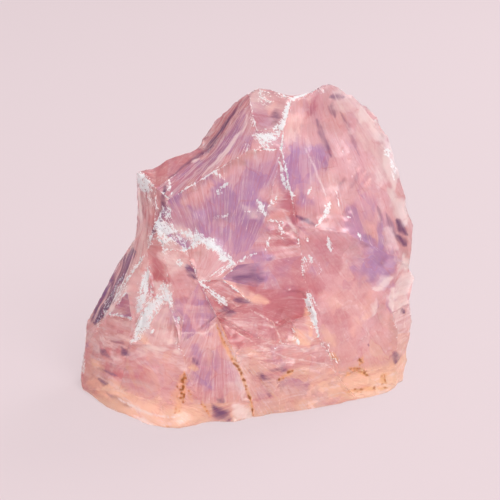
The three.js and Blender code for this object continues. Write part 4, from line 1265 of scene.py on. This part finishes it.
# Painted glow: below this height the quartz is painted warmer, standing in for light passing up through
# the base.
FOOT_GLOW_HEIGHT = 13              # mm above the foot up to which the quartz is warmer
QUARTZ_IOR = 1.544
FROST_COVER = 0.88            # share of the quartz that the thickest frost hides


def per_mm(size):
    """Scale of a texture whose features lie this many mm apart."""
    return 1 / (size * MM)


class Textures:
    """The painted amounts of the stone and the textures that break them up.

    Streaks, threads and shards follow the hackles of each face, and the others fill the stone.
    Combing, light, cool and broken are sums of several of them.
    """

    def __init__(self, tree):
        self.lavender, self.peach, self.plum = tree.vectors("tint")
        self.pale, self.frost, self.rust = tree.vectors("marks")
        self.scar_cool, self.scar_light, _ = tree.vectors("scar")
        self.rosy, self.combed, self.layered = tree.vectors("manner")
        self.add_hackles(tree, tree.node("ShaderNodeAttribute", {"attribute_name": "grain"},
                                         output="Vector"))
        self.add_fillings(tree, tree.node("ShaderNodeTexCoord", output="Object"))
        self.add_sums()

    def add_hackles(self, tree, grain):
        """Textures drawn out along the hackles."""
        self.streaks = tree.noise(tree.scaled(grain, STREAK_SCALES), 1, 4, 0.62, 0.5)
        self.threads = tree.noise(tree.scaled(grain, THREAD_SCALES), 1, 4, 0.65, 0.8)
        shards = tree.warped(tree.scaled(grain, SHARD_SCALES), 1.2, 0.7)
        self.shard_cool, self.shard_light, self.shard_warm = tree.cells(shards, 1)
        self.shard_seam = tree.seams(shards, 1)

    def add_fillings(self, tree, place):
        """Textures that fill the stone evenly."""
        self.height = tree.parts(place)[2]
        self.cloud = tree.noise(place, per_mm(CLOUD_SIZE), 3)
        self.mottle = tree.noise(place, per_mm(MOTTLE_SIZE), 4, 0.6)
        self.speck = tree.noise(place, per_mm(SPECK_SIZE), 3, 0.6)
        self.crumbs = tree.noise(place, per_mm(CRUMB_SIZE), 2)
        self.dots = tree.node("ShaderNodeTexVoronoi", {"feature": "F1"}, {
            "Vector": place, "Scale": per_mm(DOT_SIZE)}, output="Distance")
        chunks = tree.bent(place, CHUNK_BENDS)
        self.chunk_cool, self.chunk_light, _ = tree.cells(chunks, per_mm(CHUNK_SIZE))
        self.chunk_seam = tree.seams(chunks, per_mm(CHUNK_SIZE))
        flakes = tree.bent(tree.scaled(place, FLAKE_SCALES), FLAKE_BENDS)
        self.flake_cool, self.flake_light, self.flake_dark = tree.cells(flakes, per_mm(FLAKE_SIZE))
        layers = tree.warped(tree.scaled(place, LAYER_SCALES), 0.35, 5)
        self.layers = tree.noise(layers, 1, 4, 0.6)

    def add_sums(self):
        """Where the quartz is combed, light, cool and broken into flakes."""
        self.combing = ((self.streaks - 0.5) * (0.3 + 0.9 * self.combed)
                        + (self.layers - 0.5) * self.layered * 1.9)
        self.broken = ((self.cloud * 0.5 + self.streaks * 0.5).stepped(0.42, 0.62)
                       * (0.3 + 0.7 * self.layered))
        # Light: partly random tone, partly painted reflections of the shards, scars and flakes.
        self.light = (self.scar_light * 0.25 + self.combing + (self.shard_light - 0.5) * 0.4
                      + (self.chunk_light - 0.5) * 0.3 + (self.mottle - 0.5) * 0.9
                      + (self.flake_light - 0.5) * self.broken * 0.9 + (self.speck - 0.5) * 0.8)
        self.cool = (self.scar_cool * 0.15 + (self.shard_cool - 0.5) * 0.3
                     + (self.chunk_cool - 0.5) * 0.3 + (self.cloud - 0.5) * 0.9
                     + (self.flake_cool - 0.5) * self.broken * 0.15 - 0.1)


def zones(tree, t, look):
    """Colour of the clear quartz from its textures t: each tint is mixed over the last."""
    colour = tree.mix(t.cloud.stepped(0.35, 0.65), look.rose, look.salmon)
    # Lighter and darker patches: partly random tone and partly painted reflection and shade.
    colour = tree.mix(t.light.stepped(0.0, 0.7) * 0.6, colour, look.blush_and_highlight)
    deep_and_shade = t.rosy * (0.9 - t.combing) - t.light * 0.5
    colour = tree.mix(deep_and_shade.stepped(0.0, 1.0), colour, look.deep_and_shade)
    # Warmer towards the foot: a painted glow of light passing up through the base, shifted at random by
    # the shards.
    warmth = ((1 - t.height / (FOOT_GLOW_HEIGHT * MM)) * 0.6 + (t.shard_warm - 0.5) * 0.5 - 0.1
              - t.cool - t.rosy * 0.3)
    warm = (warmth * 0.7 + t.peach * (1 + t.combing)).stepped(0.1, 1.0)
    colour = tree.mix(warm, colour, look.peach)
    # Lavender: cool zones, partly painted reflections of the darker surroundings inside the stone.
    bluish = (t.lavender * (1 - t.combing) * (1 - t.peach) + t.cool).stepped(0.0, 1.0)
    colour = tree.mix(bluish, colour, look.lavender)
    # Painted light and shade: the threads and layers, which also raise the bump, are painted lighter on
    # one side and darker on the other.
    fine = (t.threads - 0.5) * (0.25 + t.combed * 1.1) + (t.layers - 0.5) * t.layered * 0.9
    colour = tree.mix(fine.stepped(0.02, 0.15) * 0.6, colour, look.blush_and_highlight)
    colour = tree.mix((0 - fine).stepped(0.02, 0.15) * 0.4, colour, look.deep_and_shade)
    dark_flakes = t.flake_dark.stepped(0.8, 0.9) * t.broken * t.mottle.stepped(0.4, 0.6)
    return tree.mix(dark_flakes * 0.3, colour, look.plum)


def painted_quartz(tree, t, look):
    """Colour of the quartz with milk, cracks and stains, its painted inner glow, and how rusty it is."""
    milk = (t.pale * (0.8 + 1.5 * t.combing + 0.3 * t.speck)).stepped(0.1, 0.9)
    colour = tree.mix(milk * 0.8, zones(tree, t, look), look.pale)
    plum = (t.plum * (1 - 2 * t.combing) - 0.15).stepped(0.0, 1.0)
    colour = tree.mix(plum, colour, look.plum)
    seams = (t.shard_seam * t.cloud.stepped(0.5, 0.6)
             + t.chunk_seam * t.streaks.stepped(0.5, 0.65)) * 0.15
    colour = tree.mix(seams, colour, look.pale)
    # Painted shade in the creases along the seams of the chunks and shards.
    crease_shade = (t.chunk_seam * t.mottle.stepped(0.5, 0.62)
               + t.shard_seam * (1 - t.mottle).stepped(0.5, 0.62))
    colour = tree.mix(crease_shade * 0.35, colour, look.deep_and_shade)
    stain = (t.rust * 0.6 - t.dots + (t.speck - 0.5) * 0.6).stepped(0.0, 0.1)
    halo = t.rust.stepped(0.2, 1.0) * 0.6
    colour = tree.mix(stain, tree.mix(halo, colour, look.ochre), look.rust)
    # Painted glow: emission in the peach, light, milky and rust-halo zones, standing in for light
    # carried inside the stone.
    painted_glow = t.peach * 1.1 + t.light.stepped(0.1, 0.8) * 0.6 - t.plum - t.lavender
    painted_glow = tree.mix(painted_glow.stepped(0.1, 1.0), (0, 0, 0), look.peach)
    painted_glow = tree.mix(halo, tree.mix(milk, painted_glow, look.pale), look.ochre)
    return colour, painted_glow, stain


def quartz_material(look):
    """Translucent rose quartz: tinted zones, streaks, frosted bruises, rust stains and a painted inner
    glow.
    """
    material = bpy.data.materials.new("rose_quartz")
    tree = Tree(material)
    t = Textures(tree)
    colour, painted_glow, stain = painted_quartz(tree, t, look)
    ridged = 0.6 * t.threads + 0.4 * t.streaks + 0.12 * t.crumbs
    body = tree.node("ShaderNodeBsdfPrincipled", None, {
        "Base Color": colour,
        "Roughness": 0.03 + 0.1 * t.mottle.stepped(0.4, 0.7) + 0.3 * stain,
        "Normal": tree.bump(0.7, 0.16 * MM, ridged),
        "IOR": QUARTZ_IOR,
        "Transmission Weight": look.clearness,
        "Subsurface Weight": 0.4,
        "Subsurface Radius": (1.0, 0.55, 0.5),
        "Subsurface Scale": 6 * MM,
        # Painted glow: the emission makes the pale and peach zones shine from within.
        "Emission Color": painted_glow,
        "Emission Strength": look.glow,
    })
    white = tree.node("ShaderNodeBsdfPrincipled", None, {
        "Base Color": (*look.frost, 1),
        "Roughness": 0.45,
        "Normal": tree.bump(0.8, 0.25 * MM, t.crumbs + t.speck),
        "IOR": QUARTZ_IOR,
        "Subsurface Weight": 0.3,
        "Subsurface Radius": (1.0, 0.8, 0.8),
        "Subsurface Scale": 1.5 * MM,
    })
    lace = (t.speck - 0.5) * 1.6 + (t.crumbs - 0.5) * 1.0 + (t.threads - 0.5) * 2.0
    bruised = t.frost * 1.1 + t.mottle.stepped(0.5, 0.8) * 0.22 - 0.66 + lace
    surface = tree.node("ShaderNodeMixShader", None, {
        0: bruised.stepped(0.0, 0.35) * FROST_COVER, 1: body, 2: white})
    volume = tree.node("ShaderNodeVolumeAbsorption", None, {
        "Color": (*look.depth_colour, 1), "Density": look.depth})
    tree.node("ShaderNodeOutputMaterial", None, {"Surface": surface, "Volume": volume})
    return material


def veil_material(look):
    """Wisps of milky quartz with clear gaps between them, lit from within by a painted glow."""
    material = bpy.data.materials.new("healed_veil")
    tree = Tree(material)
    place = tree.node("ShaderNodeTexCoord", output="Object")
    wisps = tree.noise(tree.bent(place, WISP_BENDS), per_mm(WISP_SIZE), 4, 0.6)
    shader = tree.node("ShaderNodeBsdfPrincipled", None, {
        "Base Color": (*look.pale, 1), "Roughness": 0.6, "IOR": QUARTZ_IOR,
        "Alpha": wisps.stepped(0.45, 0.7) * look.veil,
        # Painted glow: the veils shine with the same emission as the quartz.
        "Emission Color": (*look.pale, 1), "Emission Strength": 1.5 * look.glow})
    tree.node("ShaderNodeOutputMaterial", None, {"Surface": shader})
    return material


BOARD_SHARE = 0.26            # what the table's top reflects, as a part of its colour
UNEVENNESS = 0.97             # its darkest tone, as a part of its lightest
TONE_SIZE = 120               # mm from one tone to the next


def floor_material(stage):
    """A light table: a matt top with the faintest unevenness of tone, evenly lit from below."""
    material = bpy.data.materials.new("floor_board")
    tree = Tree(material)
    place = tree.node("ShaderNodeTexCoord", output="Object")
    tone = tree.noise(place, per_mm(TONE_SIZE), 2)
    board = tuple(BOARD_SHARE * part for part in stage.floor)
    darker = tuple(UNEVENNESS * part for part in board)
    shader = tree.node("ShaderNodeBsdfPrincipled", None, {
        "Base Color": tree.mix(tone, board, darker), "Roughness": 0.9,
        "Specular IOR Level": 0.0,
        "Emission Color": (*stage.floor, 1), "Emission Strength": stage.floor_glow})
    tree.node("ShaderNodeOutputMaterial", None, {"Surface": shader})
    return material


# ---------------------------------------------------------------------------------------------
# Settings
# ---------------------------------------------------------------------------------------------

def linear(red, green, blue):
    """Linear colour from display values of 0 to 255."""
    parts = np.array((red, green, blue)) / 255
    return tuple(np.where(parts <= 0.04045, parts / 12.92, ((parts + 0.055) / 1.055) ** 2.4))


def colour_setting(name, description, *display):
    """A colour property whose default is given by display values."""
    return FloatVectorProperty(name=name, description=description, subtype="COLOR", size=3,
                               min=0, max=1, default=linear(*display))


class QuartzLook(PropertyGroup):
    """Sizes and colours of the stone's surface."""

    swell: FloatProperty(name="Swell", description="Height of the low swells, in mm", default=0.5)
    ripple: FloatProperty(name="Ripple", description="Height of the ripples, in mm", default=0.05)
    hackle: FloatProperty(name="Hackle", description="Height of the hackles, in mm", default=0.14)
    chip: FloatProperty(name="Chip", description="Depth of the chips, in mm", default=0.45)
    crease: FloatProperty(name="Crease", description="Least angle of a sharp edge",
                          default=math.radians(24), subtype="ANGLE")
    clearness: FloatProperty(name="Clearness", description="Share of light let through",
                             default=0.6, min=0, max=1, subtype="FACTOR")
    # Glow is painted light: an emission that lights the pale, peach and halo zones and the veils from
    # within.
    glow: FloatProperty(name="Glow", description="Light carried inside to pale and peach zones",
                        default=0.14)
    veil: FloatProperty(name="Veil", description="Greatest opacity of the sealed veils",
                        default=0.9, min=0, max=1, subtype="FACTOR")
    depth: FloatProperty(name="Depth", description="Density of the colour inside", default=5)
    depth_colour: colour_setting("Depth colour", "Colour that light takes on inside", 252, 205, 212)
    rose: colour_setting("Rose", "Main colour", 246, 200, 208)
    salmon: colour_setting("Salmon", "Warmer clouds of the main colour", 248, 200, 198)
    # Blush paints pale streaks and painted highlights: the lit side of the threads and the lighter
    # shards.
    blush_and_highlight: colour_setting("Blush", "Light streaks", 254, 236, 236)
    # Peach is partly the quartz's own warm zones and partly a painted glow of light passing through it.
    peach: colour_setting("Peach", "Warm glow", 255, 213, 184)
    lavender: colour_setting("Lavender", "Cool zones", 186, 146, 202)
    plum: colour_setting("Plum", "Dark streaks", 98, 56, 120)
    # Deep is the deep rose of the rosy zones, and painted shade on the dark side of the hackles and in
    # creases.
    deep_and_shade: colour_setting("Deep", "Dark side of hackles and wisps", 206, 116, 128)
    pale: colour_setting("Pale", "Milky zones", 253, 246, 242)
    frost: colour_setting("Frost", "Crushed quartz on bruises", 238, 250, 250)
    ochre: colour_setting("Ochre", "Faint halo of the iron stains", 250, 188, 104)
    rust: colour_setting("Rust", "Iron stains", 128, 52, 6)


class StageLook(PropertyGroup):
    """Floor, surroundings and lights."""

    floor: colour_setting("Floor", "Colour of the floor", 238, 222, 226)
    floor_glow: FloatProperty(name="Floor glow", description="Brightness of the light table",
                              default=0.65)
    sky: colour_setting("Surroundings", "Colour of the light from all round", 240, 222, 226)
    sky_strength: FloatProperty(name="Surroundings strength",
                                description="Brightness of the light from all round", default=0.75)
    key_power: FloatProperty(name="Key light", description="Power in watts", default=2.7,
                             subtype="POWER")
    rim_power: FloatProperty(name="Rim light", description="Power in watts", default=1.5,
                             subtype="POWER")


# ---------------------------------------------------------------------------------------------
# Operators
# ---------------------------------------------------------------------------------------------

class ROSEQUARTZ_OT_surface(Operator):
    """Build the stone's outer surface"""

    bl_idname = "rose_quartz.surface"
    bl_label = "Surface"

    def execute(self, context):
        look = context.scene.quartz_look
        piece = stone_mesh(look)
        piece.data.materials.append(quartz_material(look))
        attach(piece, "root")
        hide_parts(NODE)
        return {"FINISHED"}


class ROSEQUARTZ_OT_veils(Operator):
    """Build the veils sealed inside the stone"""

    bl_idname = "rose_quartz.veils"
    bl_label = "Veils"

    def execute(self, context):
        piece = veils_mesh()
        piece.data.materials.append(veil_material(context.scene.quartz_look))
        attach(piece, "root")
        return {"FINISHED"}


FLOOR_HALF = 1500 * MM
FLOOR_GAP = 0.1 * MM
AIM = (0.5 * MM, -0.8 * MM, 29.7 * MM)    # where the camera looks
CAMERA_DISTANCE = 333.3 * MM
CAMERA_TILT = math.radians(20)
LENS = 120
SENSOR = 36
KEY_PLACE, KEY_SIZE = (0.28, -0.38, 0.52), 0.35      # metres
RIM_PLACE, RIM_SIZE = (0.35, 0.35, 0.40), 0.30


def aimed(piece, place):
    """Stands a camera or light at a place, looking at the stone's middle."""
    piece.location = place
    piece.rotation_euler = (Vector(AIM) - Vector(place)).to_track_quat("-Z", "Y").to_euler()
    bpy.context.scene.collection.objects.link(piece)


def soft_light(name, place, size, power, colour):
    """A square soft box that faces the stone."""
    lamp = bpy.data.lights.new(name, "AREA")
    lamp.size = size
    lamp.energy = power
    lamp.color = colour
    aimed(bpy.data.objects.new(name, lamp), place)


class ROSEQUARTZ_OT_stage(Operator):
    """Build the floor, the soft light and the camera"""

    bl_idname = "rose_quartz.stage"
    bl_label = "Stage"

    def execute(self, context):
        stage = context.scene.quartz_stage
        corners = np.array(((-1, -1, 0), (1, -1, 0), (1, 1, 0), (-1, 1, 0))) * FLOOR_HALF
        corners[:, 2] = -FLOOR_GAP
        mesh = bpy.data.meshes.new("floor")
        mesh.from_pydata(corners.tolist(), [], [(0, 1, 2, 3)])
        floor = bpy.data.objects.new("floor", mesh)
        context.scene.collection.objects.link(floor)
        mesh.materials.append(floor_material(stage))

        world = bpy.data.worlds.new("studio")
        tree = Tree(world)
        glow = tree.node("ShaderNodeBackground", None, {
            "Color": (*stage.sky, 1), "Strength": stage.sky_strength})
        tree.node("ShaderNodeOutputWorld", None, {"Surface": glow})
        context.scene.world = world
        soft_light("key", KEY_PLACE, KEY_SIZE, stage.key_power, (1, 0.98, 0.97))
        soft_light("rim", RIM_PLACE, RIM_SIZE, stage.rim_power, (1, 0.98, 1))

        lens = bpy.data.cameras.new("camera")
        lens.lens = LENS
        lens.sensor_width = SENSOR
        camera = bpy.data.objects.new("camera", lens)
        away = CAMERA_DISTANCE * np.array((0, -math.cos(CAMERA_TILT), math.sin(CAMERA_TILT)))
        aimed(camera, tuple(np.array(AIM) + away))
        context.scene.camera = camera
        context.scene.view_settings.view_transform = "Standard"
        return {"FINISHED"}


class ROSEQUARTZ_PT_panel(Panel):
    """Buttons and settings of the rose quartz chunk"""

    bl_idname = "ROSEQUARTZ_PT_panel"
    bl_label = "Rose Quartz"
    bl_space_type = "VIEW_3D"
    bl_region_type = "UI"
    bl_category = "Rose Quartz"

    def draw(self, context):
        for operator in (ROSEQUARTZ_OT_surface, ROSEQUARTZ_OT_veils, ROSEQUARTZ_OT_stage):
            self.layout.operator(operator.bl_idname)
        for group in (context.scene.quartz_look, context.scene.quartz_stage):
            column = self.layout.column()
            for name in group.__annotations__:
                column.prop(group, name)


CLASSES = (QuartzLook, StageLook, ROSEQUARTZ_OT_surface, ROSEQUARTZ_OT_veils,
           ROSEQUARTZ_OT_stage, ROSEQUARTZ_PT_panel)


def register():
    for item in CLASSES:
        bpy.utils.register_class(item)
    bpy.types.Scene.quartz_look = PointerProperty(type=QuartzLook)
    bpy.types.Scene.quartz_stage = PointerProperty(type=StageLook)


def unregister():
    del bpy.types.Scene.quartz_stage
    del bpy.types.Scene.quartz_look
    for item in reversed(CLASSES):
        bpy.utils.unregister_class(item)


def main():
    register()
    bpy.ops.rose_quartz.stage()
    bpy.ops.rose_quartz.surface()
    bpy.ops.rose_quartz.veils()


if __name__ == "__main__":
    main()
